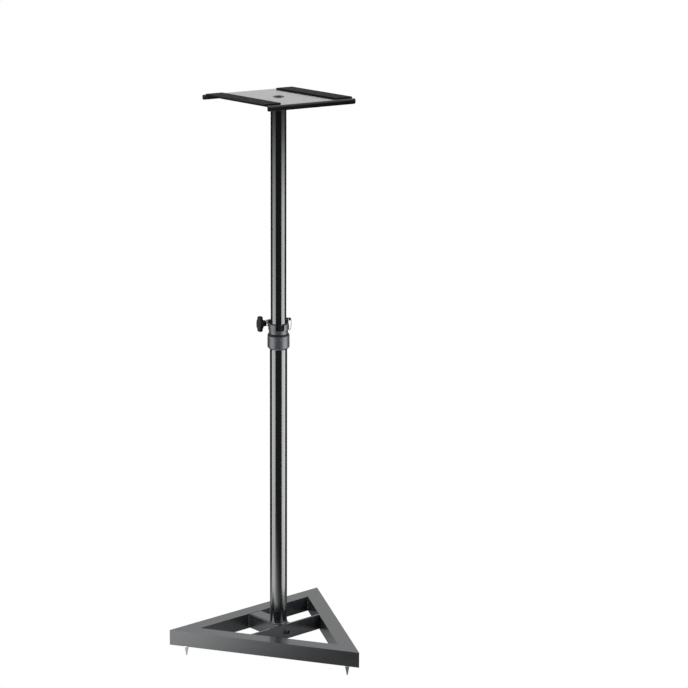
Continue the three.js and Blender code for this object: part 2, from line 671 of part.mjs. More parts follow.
/** Round flange under the plate, with a plug in the upper tube. */
function topFlange() {
  const plugR = UPPER_R - UPPER_WALL - GAP;
  const top = PLATE_UNDER - GAP;
  const bore = M8_R + THREAD_GAP;
  return turned([
    [bore, FLANGE_PLUG_BOTTOM], [plugR, FLANGE_PLUG_BOTTOM], [plugR, top - FLANGE_T],
    [FLANGE_R, top - FLANGE_T], [FLANGE_R, top], [bore, top], [bore, FLANGE_PLUG_BOTTOM],
  ]);
}

/** End view of the plate: a sheet with both long edges bent down. */
function plateSection() {
  const half = PLATE_Y / 2;
  const r = LIP_BEND_R;
  const shape = new THREE.Shape();
  shape.moveTo(-half, -LIP_DROP);
  shape.lineTo(-half + PLATE_T, -LIP_DROP);
  shape.lineTo(-half + PLATE_T, -r);
  shape.absarc(-half + r, -r, r - PLATE_T, Math.PI, Math.PI / 2, true);
  shape.lineTo(half - r, -PLATE_T);
  shape.absarc(half - r, -r, r - PLATE_T, Math.PI / 2, 0, true);
  shape.lineTo(half - PLATE_T, -LIP_DROP);
  shape.lineTo(half, -LIP_DROP);
  shape.lineTo(half, -r);
  shape.absarc(half - r, -r, r, 0, Math.PI / 2);
  shape.lineTo(-half + r, 0);
  shape.absarc(-half + r, -r, r, Math.PI / 2, Math.PI);
  shape.closePath();
  return shape;
}

/** Carrier plate with rounded lip ends and the bolt's hole. */
function topPlate() {
  const half = PLATE_X / 2;
  const bent = outwardPrism(plateSection(), 0, -half, half);
  const sideView = roundedRectangle(-half, half, -LIP_DROP, 2 * LIP_DROP, LIP_END_R);
  const rounded = common(bent, outwardPrism(sideView, 90, -PLATE_Y, PLATE_Y));
  return cut(rounded, rod(M8_R + GAP, -PLATE_T - OVER, OVER));
}

/** Rubber strip with flat ribs along its length. */
function rubberStrip() {
  const half = STRIP_WIDTH / 2;
  const pitch = (STRIP_WIDTH + STRIP_GROOVE) / STRIP_RIBS;
  const corners = [[-half, 0], [half, 0]];
  for (let rib = STRIP_RIBS - 1; rib >= 0; rib -= 1) {
    const left = -half + rib * pitch;
    const right = left + pitch - STRIP_GROOVE;
    corners.push([right, STRIP_T], [left, STRIP_T]);
    if (rib > 0) {
      corners.push([left, STRIP_T - STRIP_GROOVE_DEPTH]);
      corners.push([left - STRIP_GROOVE, STRIP_T - STRIP_GROOVE_DEPTH]);
    }
  }
  const long = PLATE_Y - STRIP_SHORTER;
  return prism(outline(corners), -long / 2, long / 2).rotateX(Math.PI / 2);
}

/** Low bolt whose head stays below the rubber's top. */
function plateBolt(seat) {
  const tip = FLANGE_PLUG_BOTTOM + PLATE_BOLT_START;
  const top = seat + PLATE_HEAD_T;
  return turned([
    [0, tip], [M8_R, tip], [M8_R, seat], [PLATE_HEAD_R, seat],
    [PLATE_HEAD_R, seat + PLATE_HEAD_EDGE], [PLATE_HEAD_R - PLATE_HEAD_EDGE, top],
    [PLATE_SOCKET_R, top], [PLATE_SOCKET_R, top - PLATE_SOCKET_DEPTH], [0, top - PLATE_SOCKET_DEPTH],
  ], SMALL_ROUND);
}

function buildMast(stand) {
  const mast = new THREE.Group();
  mast.position.set(0, POLE_Y, 0);
  mast.rotation.z = radians(PLATE_TURN);
  stand.add(mast);
  const washerZ = PLATE_TOP + TOP_GAP;
  const washerTop = washerZ + PLATE_WASHER_T;
  piece(mast, 'upper_tube', upperTube(), blackGloss);
  piece(mast, 'guide_bush', guideBush(), blackPlastic);
  piece(mast, 'top_flange', topFlange(), blackCoat);
  piece(mast, 'top_plate', topPlate(), blackGloss, 0, 0, PLATE_TOP);
  piece(mast, 'plate_washer', tube(M8_R + GAP, PLATE_WASHER_R, washerZ, washerTop, SMALL_ROUND),
    blackZinc);
  piece(mast, 'plate_bolt', plateBolt(washerTop + TOP_GAP), blackZinc);
  const stripX = PLATE_X / 2 - STRIP_WIDTH / 2;
  piece(mast, 'left_strip', rubberStrip(), blackRubber, -stripX, 0, washerZ);
  piece(mast, 'right_strip', rubberStrip(), blackRubber, stripX, 0, washerZ);
}

// ---- Assembly ----

const stand = new THREE.Group();
stand.name = 'speaker_stand';
buildSides(stand);
buildCentre(stand);
buildSpikes(stand);
buildLowerPole(stand);
buildSleeve(stand);
buildClamp(stand);
buildSafetyPin(stand);
buildMast(stand);

export default stand;
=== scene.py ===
"""Visual model of a speaker stand: welded triangular base, telescopic pole and carrier plate."""

import json
import logging
import math
from dataclasses import dataclass, field
from enum import Enum
from typing import Callable, Iterable, Optional, Union

import bpy
from mathutils import Matrix, Vector

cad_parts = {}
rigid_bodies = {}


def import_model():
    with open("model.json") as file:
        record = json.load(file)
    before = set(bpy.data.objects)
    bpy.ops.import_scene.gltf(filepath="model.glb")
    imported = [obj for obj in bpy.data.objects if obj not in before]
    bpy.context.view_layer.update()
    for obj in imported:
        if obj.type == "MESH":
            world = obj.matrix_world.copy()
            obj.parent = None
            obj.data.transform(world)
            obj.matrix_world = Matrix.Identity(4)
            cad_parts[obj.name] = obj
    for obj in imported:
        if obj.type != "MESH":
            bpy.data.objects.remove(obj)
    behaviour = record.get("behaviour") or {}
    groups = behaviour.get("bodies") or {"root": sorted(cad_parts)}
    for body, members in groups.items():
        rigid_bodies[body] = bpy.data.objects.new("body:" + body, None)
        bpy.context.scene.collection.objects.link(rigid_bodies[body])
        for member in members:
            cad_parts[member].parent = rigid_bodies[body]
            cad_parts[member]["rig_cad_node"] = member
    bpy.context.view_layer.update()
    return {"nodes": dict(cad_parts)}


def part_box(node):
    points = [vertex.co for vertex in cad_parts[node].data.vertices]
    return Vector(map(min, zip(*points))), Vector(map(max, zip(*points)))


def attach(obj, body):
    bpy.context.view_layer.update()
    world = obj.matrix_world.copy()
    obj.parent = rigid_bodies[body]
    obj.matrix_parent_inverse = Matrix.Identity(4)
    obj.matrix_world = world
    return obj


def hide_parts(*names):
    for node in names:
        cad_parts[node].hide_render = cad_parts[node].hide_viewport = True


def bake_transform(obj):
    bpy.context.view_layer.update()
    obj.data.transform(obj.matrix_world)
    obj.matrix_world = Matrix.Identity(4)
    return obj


LOG = logging.getLogger("speaker_stand")
MM = 0.001
UP = Vector((0.0, 0.0, 1.0))

Tree = bpy.types.NodeTree
Node = bpy.types.Node
Socket = bpy.types.NodeSocket
SocketOrNumber = Union[Socket, float]

# Places shared by the sub-assemblies, in metres
POLE = Vector((0.0, 0.06778, 0.0))
BASE_BOTTOM = 0.028
BASE_TOP = 0.063
BAR = 0.035
HALF_CORNER = math.radians(30)  # half the angle at a corner of the base

# How meshes are picked, merged and shaded
FACING = 0.9  # part of a normal along Z from which a face counts as level
SAME_HEIGHT = 1e-6  # metres
MERGE_REACH = 0.00001  # metres
FLAT_ANGLE = 0.5  # degrees, below which two triangles count as one face
EDGE_ANGLE = 32.0  # degrees, above which an edge stays an edge


class Body(str, Enum):
    """Moving bodies that pieces ride on."""

    BASE = "base"
    MAST = "mast"
    KNOB = "knob"
    PIN = "pin"
    SPIKE_LEFT = "left_spike_body"
    SPIKE_RIGHT = "right_spike_body"
    SPIKE_FRONT = "front_spike_body"


class Slot(str, Enum):
    """Material slots of the record."""

    COAT = "coat"
    GLOSS = "gloss"
    SLEEVE = "sleeve"
    PLASTIC = "plastic"
    RUBBER = "rubber"
    STEEL = "steel"
    ZINC = "zinc"


class Lay(Enum):
    """Direction that fine marks run in."""

    ALONG_POLE = (1.0, 1.0, 0.03)
    ROUND_POLE = (0.05, 0.05, 1.0)
    EVEN = (1.0, 1.0, 1.0)


# ---- Nodes that several materials use ----


def new_group(name: str, inputs: dict[str, tuple[str, object]],
              outputs: dict[str, str]) -> tuple[Tree, Node, Node]:
    """Starts a shader node group.

    Args:
        name: The group's name.
        inputs: Socket name to (socket type, default value).
        outputs: Socket name to socket type.

    Returns:
        The group's tree, its input node and its output node.
    """
    tree = bpy.data.node_groups.new(name, "ShaderNodeTree")
    for label, (kind, default) in inputs.items():
        socket = tree.interface.new_socket(label, in_out="INPUT", socket_type=kind)
        if default is not None:
            socket.default_value = default
    for label, kind in outputs.items():
        tree.interface.new_socket(label, in_out="OUTPUT", socket_type=kind)
    return tree, tree.nodes.new("NodeGroupInput"), tree.nodes.new("NodeGroupOutput")


def feed(tree: Tree, value: SocketOrNumber, target: Socket) -> None:
    """Links a socket to another, or sets it to a number.

    Args:
        tree: The node tree.
        value: A socket or a number.
        target: The input socket that takes it.
    """
    if isinstance(value, (int, float)):
        target.default_value = value
    else:
        tree.links.new(value, target)


def math_node(tree: Tree, operation: str, first: SocketOrNumber, second: SocketOrNumber) -> Socket:
    """Adds a Math node.

    Args:
        tree: The node tree.
        operation: Blender's name of the operation.
        first: A socket or a number.
        second: A socket or a number.

    Returns:
        The node's output socket.
    """
    node = tree.nodes.new("ShaderNodeMath")
    node.operation = operation
    feed(tree, first, node.inputs[0])
    feed(tree, second, node.inputs[1])
    return node.outputs[0]


def noise_node(tree: Tree, vector: Socket, scale: SocketOrNumber, detail: float,
               weight: float = 0.5) -> Socket:
    """Adds a Noise texture.

    Args:
        tree: The node tree.
        vector: Socket with the coordinates.
        scale: A socket or a number.
        detail: Octaves of detail.
        weight: Weight of the finer octaves.

    Returns:
        The texture's value socket.
    """
    node = tree.nodes.new("ShaderNodeTexNoise")
    node.inputs["Detail"].default_value = detail
    node.inputs["Roughness"].default_value = weight
    tree.links.new(vector, node.inputs["Vector"])
    feed(tree, scale, node.inputs["Scale"])
    return node.outputs[0]


def range_node(tree: Tree, value: Socket, source: tuple[float, float],
               target: tuple[float, float] = (0.0, 1.0)) -> Socket:
    """Adds a Map Range node.

    Args:
        tree: The node tree.
        value: The socket to map.
        source: Limits of the value.
        target: What the limits become.

    Returns:
        The node's output socket.
    """
    node = tree.nodes.new("ShaderNodeMapRange")
    for label, limit in zip(("From Min", "From Max", "To Min", "To Max"), (*source, *target)):
        node.inputs[label].default_value = limit
    tree.links.new(value, node.inputs["Value"])
    return node.outputs[0]


def bump_node(tree: Tree, height: Socket, distance: float, under: Optional[Socket] = None) -> Socket:
    """Adds a Bump node.

    Args:
        tree: The node tree.
        height: Socket with the height.
        distance: Height of the relief in metres.
        under: Socket with the normal that the relief lies on.

    Returns:
        The node's normal socket.
    """
    node = tree.nodes.new("ShaderNodeBump")
    node.inputs["Distance"].default_value = distance
    tree.links.new(height, node.inputs["Height"])
    if under is not None:
        tree.links.new(under, node.inputs["Normal"])
    return node.outputs["Normal"]


def object_place(tree: Tree) -> Socket:
    """Adds a Texture Coordinate node and gives its Object socket."""
    return tree.nodes.new("ShaderNodeTexCoord").outputs["Object"]


# ---- Surface effects, each a node group ----


@dataclass(frozen=True)
class CoatSkin:
    """Uneven skin of a sprayed or powder-coated surface: fine grain over broad clouds."""

    grain_detail: float = 2.0
    cloud_detail: float = 3.0
    cloud_share: float = 0.08  # of the grain's scale

    def build(self) -> Tree:
        """Builds the group.

        Returns:
            The group's tree.
        """
        tree, given, out = new_group(
            "coat_skin",
            {"Vector": ("NodeSocketVector", None), "Scale": ("NodeSocketFloat", 900.0),
             "Waves": ("NodeSocketFloat", 0.35)},
            {"Height": "NodeSocketFloat", "Cloud": "NodeSocketFloat"},
        )
        place, scale = given.outputs["Vector"], given.outputs["Scale"]
        grain = noise_node(tree, place, scale, self.grain_detail)
        cloud_scale = math_node(tree, "MULTIPLY", scale, self.cloud_share)
        cloud = noise_node(tree, place, cloud_scale, self.cloud_detail)
        waves = math_node(tree, "MULTIPLY", cloud, given.outputs["Waves"])
        tree.links.new(math_node(tree, "ADD", grain, waves), out.inputs["Height"])
        tree.links.new(cloud, out.inputs["Cloud"])
        return tree


@dataclass(frozen=True)
class FineLines:
    """Fine lines that run one way, as turning, drawing or polishing leaves them."""

    line_detail: float = 4.0
    line_weight: float = 0.7
    streak_detail: float = 2.0
    streak_share: float = 0.12  # of the lines' scale

    def build(self) -> Tree:
        """Builds the group.

        Returns:
            The group's tree.
        """
        tree, given, out = new_group(
            "fine_lines",
            {"Vector": ("NodeSocketVector", None),
             "Stretch": ("NodeSocketVector", (1.0, 1.0, 1.0)),
             "Scale": ("NodeSocketFloat", 1500.0)},
            {"Height": "NodeSocketFloat", "Streak": "NodeSocketFloat"},
        )
        stretch = tree.nodes.new("ShaderNodeVectorMath")
        stretch.operation = "MULTIPLY"
        tree.links.new(given.outputs["Vector"], stretch.inputs[0])
        tree.links.new(given.outputs["Stretch"], stretch.inputs[1])
        place, scale = stretch.outputs[0], given.outputs["Scale"]
        lines = noise_node(tree, place, scale, self.line_detail, self.line_weight)
        streak_scale = math_node(tree, "MULTIPLY", scale, self.streak_share)
        streak = noise_node(tree, place, streak_scale, self.streak_detail)
        tree.links.new(lines, out.inputs["Height"])
        tree.links.new(streak, out.inputs["Streak"])
        return tree


@dataclass(frozen=True)
class SettledDust:
    """Small pale specks of dust, in patches, that gather on faces that look up."""

    speck_scale: float = 2600.0
    speck_detail: float = 2.0
    speck_weight: float = 0.6
    speck_edge: tuple[float, float] = (0.64, 0.74)  # noise values between which a speck appears
    patch_scale: float = 22.0
    patch_detail: float = 3.0
    least: float = 0.12  # share of the dust on faces that don't look up

    def build(self) -> Tree:
        """Builds the group.

        Returns:
            The group's tree.
        """
        tree, given, out = new_group(
            "settled_dust",
            {"Vector": ("NodeSocketVector", None), "Amount": ("NodeSocketFloat", 0.05)},
            {"Mask": "NodeSocketFloat"},
        )
        place = given.outputs["Vector"]
        noise = noise_node(tree, place, self.speck_scale, self.speck_detail, self.speck_weight)
        patches = noise_node(tree, place, self.patch_scale, self.patch_detail)
        specks = range_node(tree, noise, self.speck_edge)
        split = tree.nodes.new("ShaderNodeSeparateXYZ")
        geometry = tree.nodes.new("ShaderNodeNewGeometry")
        tree.links.new(geometry.outputs["Normal"], split.inputs[0])
        upward = math_node(tree, "MAXIMUM", split.outputs["Z"], self.least)
        patched = math_node(tree, "MULTIPLY", specks, patches)
        settled = math_node(tree, "MULTIPLY", patched, upward)
        mask = math_node(tree, "MULTIPLY", settled, given.outputs["Amount"])
        tree.links.new(mask, out.inputs["Mask"])
        return tree


class SharedEffects:
    """The node groups, each built once."""

    def __init__(self) -> None:
        """Builds the groups."""
        self.skin = CoatSkin().build()
        self.lines = FineLines().build()
        self.dust = SettledDust().build()


# ---- Finishes ----


@dataclass(frozen=True)
class Finish:
    """A surface finish built from the shared groups.

    The uniform values go straight to the shader's sockets.
    """

    name: str
    slot: Slot
    dark: tuple[float, float, float]
    light: tuple[float, float, float]
    rough: tuple[float, float]
    metallic: float = 0.0
    coat: float = 0.0
    coat_rough: float = 0.05
    ior: float = 1.5
    shine: float = 0.5
    skin_scale: float = 900.0
    skin_height: float = 0.02 * MM
    cloud_range: tuple[float, float] = (0.3, 0.7)
    lay: Lay = Lay.EVEN
    line_scale: float = 0.0
    line_height: float = 0.0
    dust: float = 0.2
    dust_tone: tuple[float, float, float] = (0.32, 0.31, 0.29)

    def material(self, effects: SharedEffects) -> bpy.types.Material:
        """Builds the material.

        Args:
            effects: The shared node groups.

        Returns:
            The material, with its name from the finish.
        """
        made = bpy.data.materials.new(self.name)
        made.use_nodes = True
        tree = made.node_tree
        shader = tree.nodes["Principled BSDF"]
        shader.inputs["Metallic"].default_value = self.metallic
        shader.inputs["Coat Weight"].default_value = self.coat
        shader.inputs["Coat Roughness"].default_value = self.coat_rough
        shader.inputs["IOR"].default_value = self.ior
        shader.inputs["Specular IOR Level"].default_value = self.shine
        place = object_place(tree)
        skin = self._group(tree, effects.skin, place)
        skin.inputs["Scale"].default_value = self.skin_scale
        cloud = skin.outputs["Cloud"]
        normal = bump_node(tree, skin.outputs["Height"], self.skin_height)
        if self.line_scale:
            lines = self._group(tree, effects.lines, place)
            lines.inputs["Stretch"].default_value = self.lay.value
            lines.inputs["Scale"].default_value = self.line_scale
            normal = bump_node(tree, lines.outputs["Height"], self.line_height, normal)
            both = math_node(tree, "ADD", cloud, lines.outputs["Streak"])
            cloud = math_node(tree, "MULTIPLY", both, 0.5)  # their mean
        tree.links.new(normal, shader.inputs["Normal"])
        tree.links.new(range_node(tree, cloud, self.cloud_range, self.rough), shader.inputs["Roughness"])
        dust = self._group(tree, effects.dust, place)
        dust.inputs["Amount"].default_value = self.dust
        tones = self._mix(tree, cloud, self.dark, self.light)
        dusty = self._mix(tree, dust.outputs["Mask"], tones, self.dust_tone)
        tree.links.new(dusty, shader.inputs["Base Color"])
        return made

    def _group(self, tree: Tree, group: Tree, place: Socket) -> Node:
        """Places a shared group in a material.

        Args:
            tree: The material's tree.
            group: The group's tree.
            place: Socket with the coordinates.

        Returns:
            The group's node.
        """
        node = tree.nodes.new("ShaderNodeGroup")
        node.node_tree = group
        tree.links.new(place, node.inputs["Vector"])
        return node

    def _mix(self, tree: Tree, share: Socket, under: Union[Socket, tuple[float, float, float]],
             over: tuple[float, float, float]) -> Socket:
        """Lays one colour over another.

        Args:
            tree: The material's tree.
            share: Socket with the share of the upper colour.
            under: The lower colour, or a socket with it.
            over: The upper colour.

        Returns:
            The colour socket.
        """
        node = tree.nodes.new("ShaderNodeMix")
        node.data_type = "RGBA"
        tree.links.new(share, node.inputs["Factor"])
        if isinstance(under, tuple):
            node.inputs["A"].default_value = (*under, 1.0)
        else:
            tree.links.new(under, node.inputs["A"])
        node.inputs["B"].default_value = (*over, 1.0)
        return node.outputs["Result"]


POWDER_COAT = Finish(
    "powder_coat", Slot.COAT, dark=(0.0060, 0.0068, 0.0080), light=(0.0105, 0.0115, 0.0130),
    rough=(0.20, 0.26), skin_scale=850.0, skin_height=0.003 * MM, dust=0.03)
WELD_COAT = Finish(
    "coated_weld", Slot.COAT, dark=(0.0070, 0.0078, 0.0090), light=(0.014, 0.015, 0.017),
    rough=(0.18, 0.34), skin_scale=420.0, skin_height=0.06 * MM, dust=0.05)
LACQUER = Finish(
    "tube_lacquer", Slot.GLOSS, dark=(0.0018, 0.0022, 0.0026), light=(0.0030, 0.0034, 0.0040),
    rough=(0.13, 0.17), coat=0.6, coat_rough=0.08, skin_scale=700.0, skin_height=0.0004 * MM,
    lay=Lay.ALONG_POLE, line_scale=160.0, line_height=0.0005 * MM, dust=0.0)
PLATE_LACQUER = Finish(
    "plate_lacquer", Slot.GLOSS, dark=(0.0022, 0.0026, 0.0028), light=(0.0040, 0.0046, 0.0048),
    rough=(0.12, 0.18), skin_scale=800.0, skin_height=0.002 * MM, dust=0.03)
SATIN = Finish(
    "satin_sleeve", Slot.SLEEVE, dark=(0.022, 0.025, 0.028), light=(0.034, 0.037, 0.041),
    rough=(0.34, 0.42), metallic=0.3, skin_scale=1100.0, skin_height=0.012 * MM,
    lay=Lay.ROUND_POLE, line_scale=1400.0, line_height=0.012 * MM, dust=0.15)
PLASTIC = Finish(
    "moulded_plastic", Slot.PLASTIC, dark=(0.0026, 0.0032, 0.0032), light=(0.0050, 0.0058, 0.0060),
    rough=(0.36, 0.48), ior=1.47, shine=0.12, skin_scale=1900.0, skin_height=0.02 * MM, dust=0.03)
RUBBER = Finish(
    "ribbed_rubber", Slot.RUBBER, dark=(0.006, 0.006, 0.006), light=(0.012, 0.012, 0.012),
    rough=(0.62, 0.85), ior=1.45, shine=0.2, skin_scale=2400.0, skin_height=0.04 * MM, dust=0.06)
STEEL = Finish(
    "plated_steel", Slot.STEEL, dark=(0.56, 0.56, 0.54), light=(0.74, 0.74, 0.73),
    rough=(0.14, 0.3), metallic=1.0, skin_scale=1300.0, skin_height=0.004 * MM,
    lay=Lay.ROUND_POLE, line_scale=2200.0, line_height=0.006 * MM, dust=0.05)
DARK_STEEL = Finish(
    "dulled_steel", Slot.STEEL, dark=(0.10, 0.10, 0.10), light=(0.18, 0.18, 0.175),
    rough=(0.16, 0.30), metallic=1.0, skin_scale=1300.0, skin_height=0.004 * MM,
    lay=Lay.ROUND_POLE, line_scale=2200.0, line_height=0.006 * MM, dust=0.03)
BLACKENED = Finish(
    "blackened_steel", Slot.STEEL, dark=(0.018, 0.018, 0.019), light=(0.034, 0.034, 0.035),
    rough=(0.14, 0.26), metallic=1.0, skin_scale=1300.0, skin_height=0.004 * MM,
    lay=Lay.ROUND_POLE, line_scale=2200.0, line_height=0.004 * MM, dust=0.03)
ZINC = Finish(
    "black_zinc", Slot.ZINC, dark=(0.055, 0.055, 0.060), light=(0.12, 0.12, 0.13),
    rough=(0.26, 0.42), metallic=0.9, skin_scale=1500.0, skin_height=0.006 * MM,
    lay=Lay.EVEN, line_scale=1800.0, line_height=0.004 * MM, dust=0.1)
WIRE = Finish(
    "twisted_wire", Slot.STEEL, dark=(0.035, 0.035, 0.036), light=(0.080, 0.080, 0.079),
    rough=(0.22, 0.4), metallic=1.0, skin_scale=5200.0, skin_height=0.05 * MM, dust=0.05)
FINISHES = (POWDER_COAT, WELD_COAT, LACQUER, PLATE_LACQUER, SATIN, PLASTIC, RUBBER, STEEL,
            DARK_STEEL, BLACKENED, ZINC, WIRE)

# A CAD node, its finish and the width of its rounded edges, for several nodes in turn
Rows = tuple[tuple[str, Finish, float], ...]


class Paintshop:
    """Builds every finish once and hands the materials out."""

    def __init__(self) -> None:
        """Builds the materials."""
        effects = SharedEffects()
        self._made = {finish.name: finish.material(effects) for finish in FINISHES}

    def dress(self, piece: bpy.types.Object, finish: Finish) -> None:
        """Gives a piece one finish all over.

        Args:
            piece: The piece, a CAD node or a new one.
            finish: Its finish.
        """
        piece.data.materials.clear()
        piece.data.materials.append(self._made[finish.name])


# ---- Modelling by hand, in code ----


class Bench:
    """Selections and edit-mode steps that the sub-assemblies share."""

    @staticmethod
    def clear() -> None:
        """Deselects everything in object mode."""
        if bpy.context.object and bpy.context.object.mode != "OBJECT":
            bpy.ops.object.mode_set(mode="OBJECT")
        bpy.ops.object.select_all(action="DESELECT")

    @staticmethod
    def hold(piece: bpy.types.Object) -> None:
        """Selects one piece and makes it active.

        Args:
            piece: The piece.
        """
        Bench.clear()
        piece.select_set(True)
        bpy.context.view_layer.objects.active = piece

    @staticmethod
    def named(name: str) -> bpy.types.Object:
        """Names the active object and its mesh.

        Args:
            name: The name.

        Returns:
            The object.
        """
        piece = bpy.context.object
        piece.name = name
        piece.data.name = name
        return piece

    @staticmethod
    def apply(piece: bpy.types.Object) -> None:
        """Moves a piece's place into its mesh."""
        Bench.hold(piece)
        bpy.ops.object.transform_apply(location=True, rotation=True, scale=True)

    @staticmethod
    def cylinder(name: str, radius: float, bottom: float, top: float, sides: int) -> bpy.types.Object:
        """Adds an upright cylinder on the Z axis, with its place in its mesh.

        Args:
            name: The piece's name.
            radius: Radius in metres.
            bottom: Lower end.
            top: Upper end.
            sides: Number of sides.

        Returns:
            The new piece.
        """
        Bench.clear()
        bpy.ops.mesh.primitive_cylinder_add(
            vertices=sides, radius=radius, depth=top - bottom, location=(0, 0, (top + bottom) / 2))
        piece = Bench.named(name)
        Bench.apply(piece)
        return piece

    @staticmethod
    def edit(piece: bpy.types.Object, action: str = "SELECT") -> None:
        """Enters edit mode on a piece.

        Args:
            piece: The piece.
            action: SELECT picks all of its mesh, DESELECT picks nothing.
        """
        Bench.hold(piece)
        bpy.ops.object.mode_set(mode="EDIT")
        bpy.ops.mesh.select_all(action=action)

    @staticmethod
    def done() -> None:
        """Leaves edit mode."""
        bpy.ops.object.mode_set(mode="OBJECT")

    @staticmethod
    def faces(piece: bpy.types.Object, wanted: Callable[[bpy.types.MeshPolygon], bool]) -> None:
        """Selects the faces that a test picks, and stays in edit mode in face mode.

        Args:
            piece: The piece.
            wanted: Test that takes a polygon.
        """
        Bench.edit(piece, "DESELECT")
        bpy.ops.mesh.select_mode(type="FACE")
        Bench.done()
        for polygon in piece.data.polygons:
            polygon.select = bool(wanted(polygon))
        bpy.ops.object.mode_set(mode="EDIT")

    @staticmethod
    def edges(piece: bpy.types.Object, wanted: Callable[[Vector, Vector], bool]) -> None:
        """Selects the edges whose two ends pass a test, and stays in edit mode in edge mode.

        Args:
            piece: The piece.
            wanted: Test that takes the two ends' positions.
        """
        Bench.edit(piece, "DESELECT")
        bpy.ops.mesh.select_mode(type="EDGE")
        Bench.done()
        points = piece.data.vertices
        for edge in piece.data.edges:
            edge.select = bool(wanted(points[edge.vertices[0]].co, points[edge.vertices[1]].co))
        bpy.ops.object.mode_set(mode="EDIT")

    @staticmethod
    def upper_face(piece: bpy.types.Object) -> None:
        """Selects what looks up, for the extrusions that follow."""
        Bench.faces(piece, lambda f: f.normal.z > FACING)

    @staticmethod
    def draw_up(height: float) -> None:
        """Extrudes the selection upwards."""
        bpy.ops.mesh.extrude_region_move(TRANSFORM_OT_translate={"value": (0, 0, height)})

    @staticmethod
    def widen(factor: float) -> None:
        """Scales the selection about its middle, and keeps it level."""
        bpy.ops.transform.resize(value=(factor, factor, 1))

    @staticmethod
    def bevel(piece: bpy.types.Object, width: float, steps: int = 2, angle: float = EDGE_ANGLE) -> None:
        """Rounds every edge sharper than an angle.

        Args:
            piece: The piece.
            width: Width of the rounded edges.
            steps: Number of faces across each.
            angle: The angle in degrees.
        """
        Bench.hold(piece)
        soft = piece.modifiers.new("rounded_edges", "BEVEL")
        soft.width = width
        soft.segments = steps
        soft.limit_method = "ANGLE"
        soft.angle_limit = math.radians(angle)
        soft.use_clamp_overlap = True
        bpy.ops.object.modifier_apply(modifier=soft.name)

    @staticmethod
    def smooth(piece: bpy.types.Object, angle: float = EDGE_ANGLE) -> None:
        """Shades a piece smooth across its shallow edges, with its large faces kept true.

        Args:
            piece: The piece.
            angle: Angle in degrees up to which an edge is shallow.
        """
        Bench.hold(piece)
        bpy.ops.object.shade_smooth_by_angle(angle=math.radians(angle))
        true = piece.modifiers.new("true_normals", "WEIGHTED_NORMAL")
        true.mode = "FACE_AREA"
        true.keep_sharp = True
        bpy.ops.object.modifier_apply(modifier=true.name)

    @staticmethod
    def trim(piece: bpy.types.Object, top: float) -> None:
        """Cuts a piece off level and closes it.

        Args:
            piece: The piece.
            top: Height of the cut.
        """
        Bench.edit(piece)
        bpy.ops.mesh.bisect(plane_co=(0, 0, top), plane_no=(0, 0, 1), use_fill=True, clear_outer=True)
        Bench.done()

    @staticmethod
    def ring_cut(piece: bpy.types.Object, heights: Iterable[float]) -> None:
        """Cuts level edge loops into a piece, which keep its shading even near a hole.

        Args:
            piece: The piece.
            heights: Heights of the loops.
        """
        for height in heights:
            Bench.edit(piece)
            bpy.ops.mesh.bisect(plane_co=(0, 0, height), plane_no=(0, 0, 1))
            Bench.done()

    @staticmethod
    def turn(piece: bpy.types.Object, matrix: Matrix) -> None:
        """Moves a finished mesh with a rotation and a place."""
        piece.data.transform(matrix)
        piece.data.update()

    @staticmethod
    def join(name: str, parts: tuple[bpy.types.Object, ...]) -> bpy.types.Object:
        """Joins separate shapes into one named piece.

        Args:
            name: Name of the joined piece.
            parts: The shapes.

        Returns:
            The joined piece.
        """
        Bench.clear()
        for part in parts:
            part.select_set(True)
        bpy.context.view_layer.objects.active = parts[0]
        bpy.ops.object.join()
        return Bench.named(name)

    @staticmethod
    def carry_over(node: bpy.types.Object, name: str, width: float,
                   cuts: Iterable[float] = ()) -> bpy.types.Object:
        """Copies a CAD node, merges its loose triangles, rounds its edges and smooths it.

        Args:
            node: The CAD node.
            name: Name of the copy.
            width: Width of the rounded edges; 0 leaves them sharp.
            cuts: Heights of level edge loops to add.

        Returns:
            The finished copy.
        """
        Bench.clear()
        copy = bpy.data.objects.new(name, node.data.copy())
        copy.data.name = name
        bpy.context.scene.collection.objects.link(copy)
        Bench.edit(copy)
        bpy.ops.mesh.remove_doubles(threshold=MERGE_REACH)
        bpy.ops.mesh.customdata_custom_splitnormals_clear()
        bpy.ops.mesh.dissolve_limited(angle_limit=math.radians(FLAT_ANGLE))
        Bench.done()
        Bench.ring_cut(copy, cuts)
        if width:
            Bench.bevel(copy, width)
        Bench.smooth(copy)
        return copy


def level(degrees: float) -> Matrix:
    """Turns a shape made along Z to lie along a level direction."""
    return Matrix.Rotation(math.radians(degrees), 4, "Z") @ Matrix.Rotation(math.pi / 2, 4, "Y")


# ---- Shapes that several sub-assemblies use ----


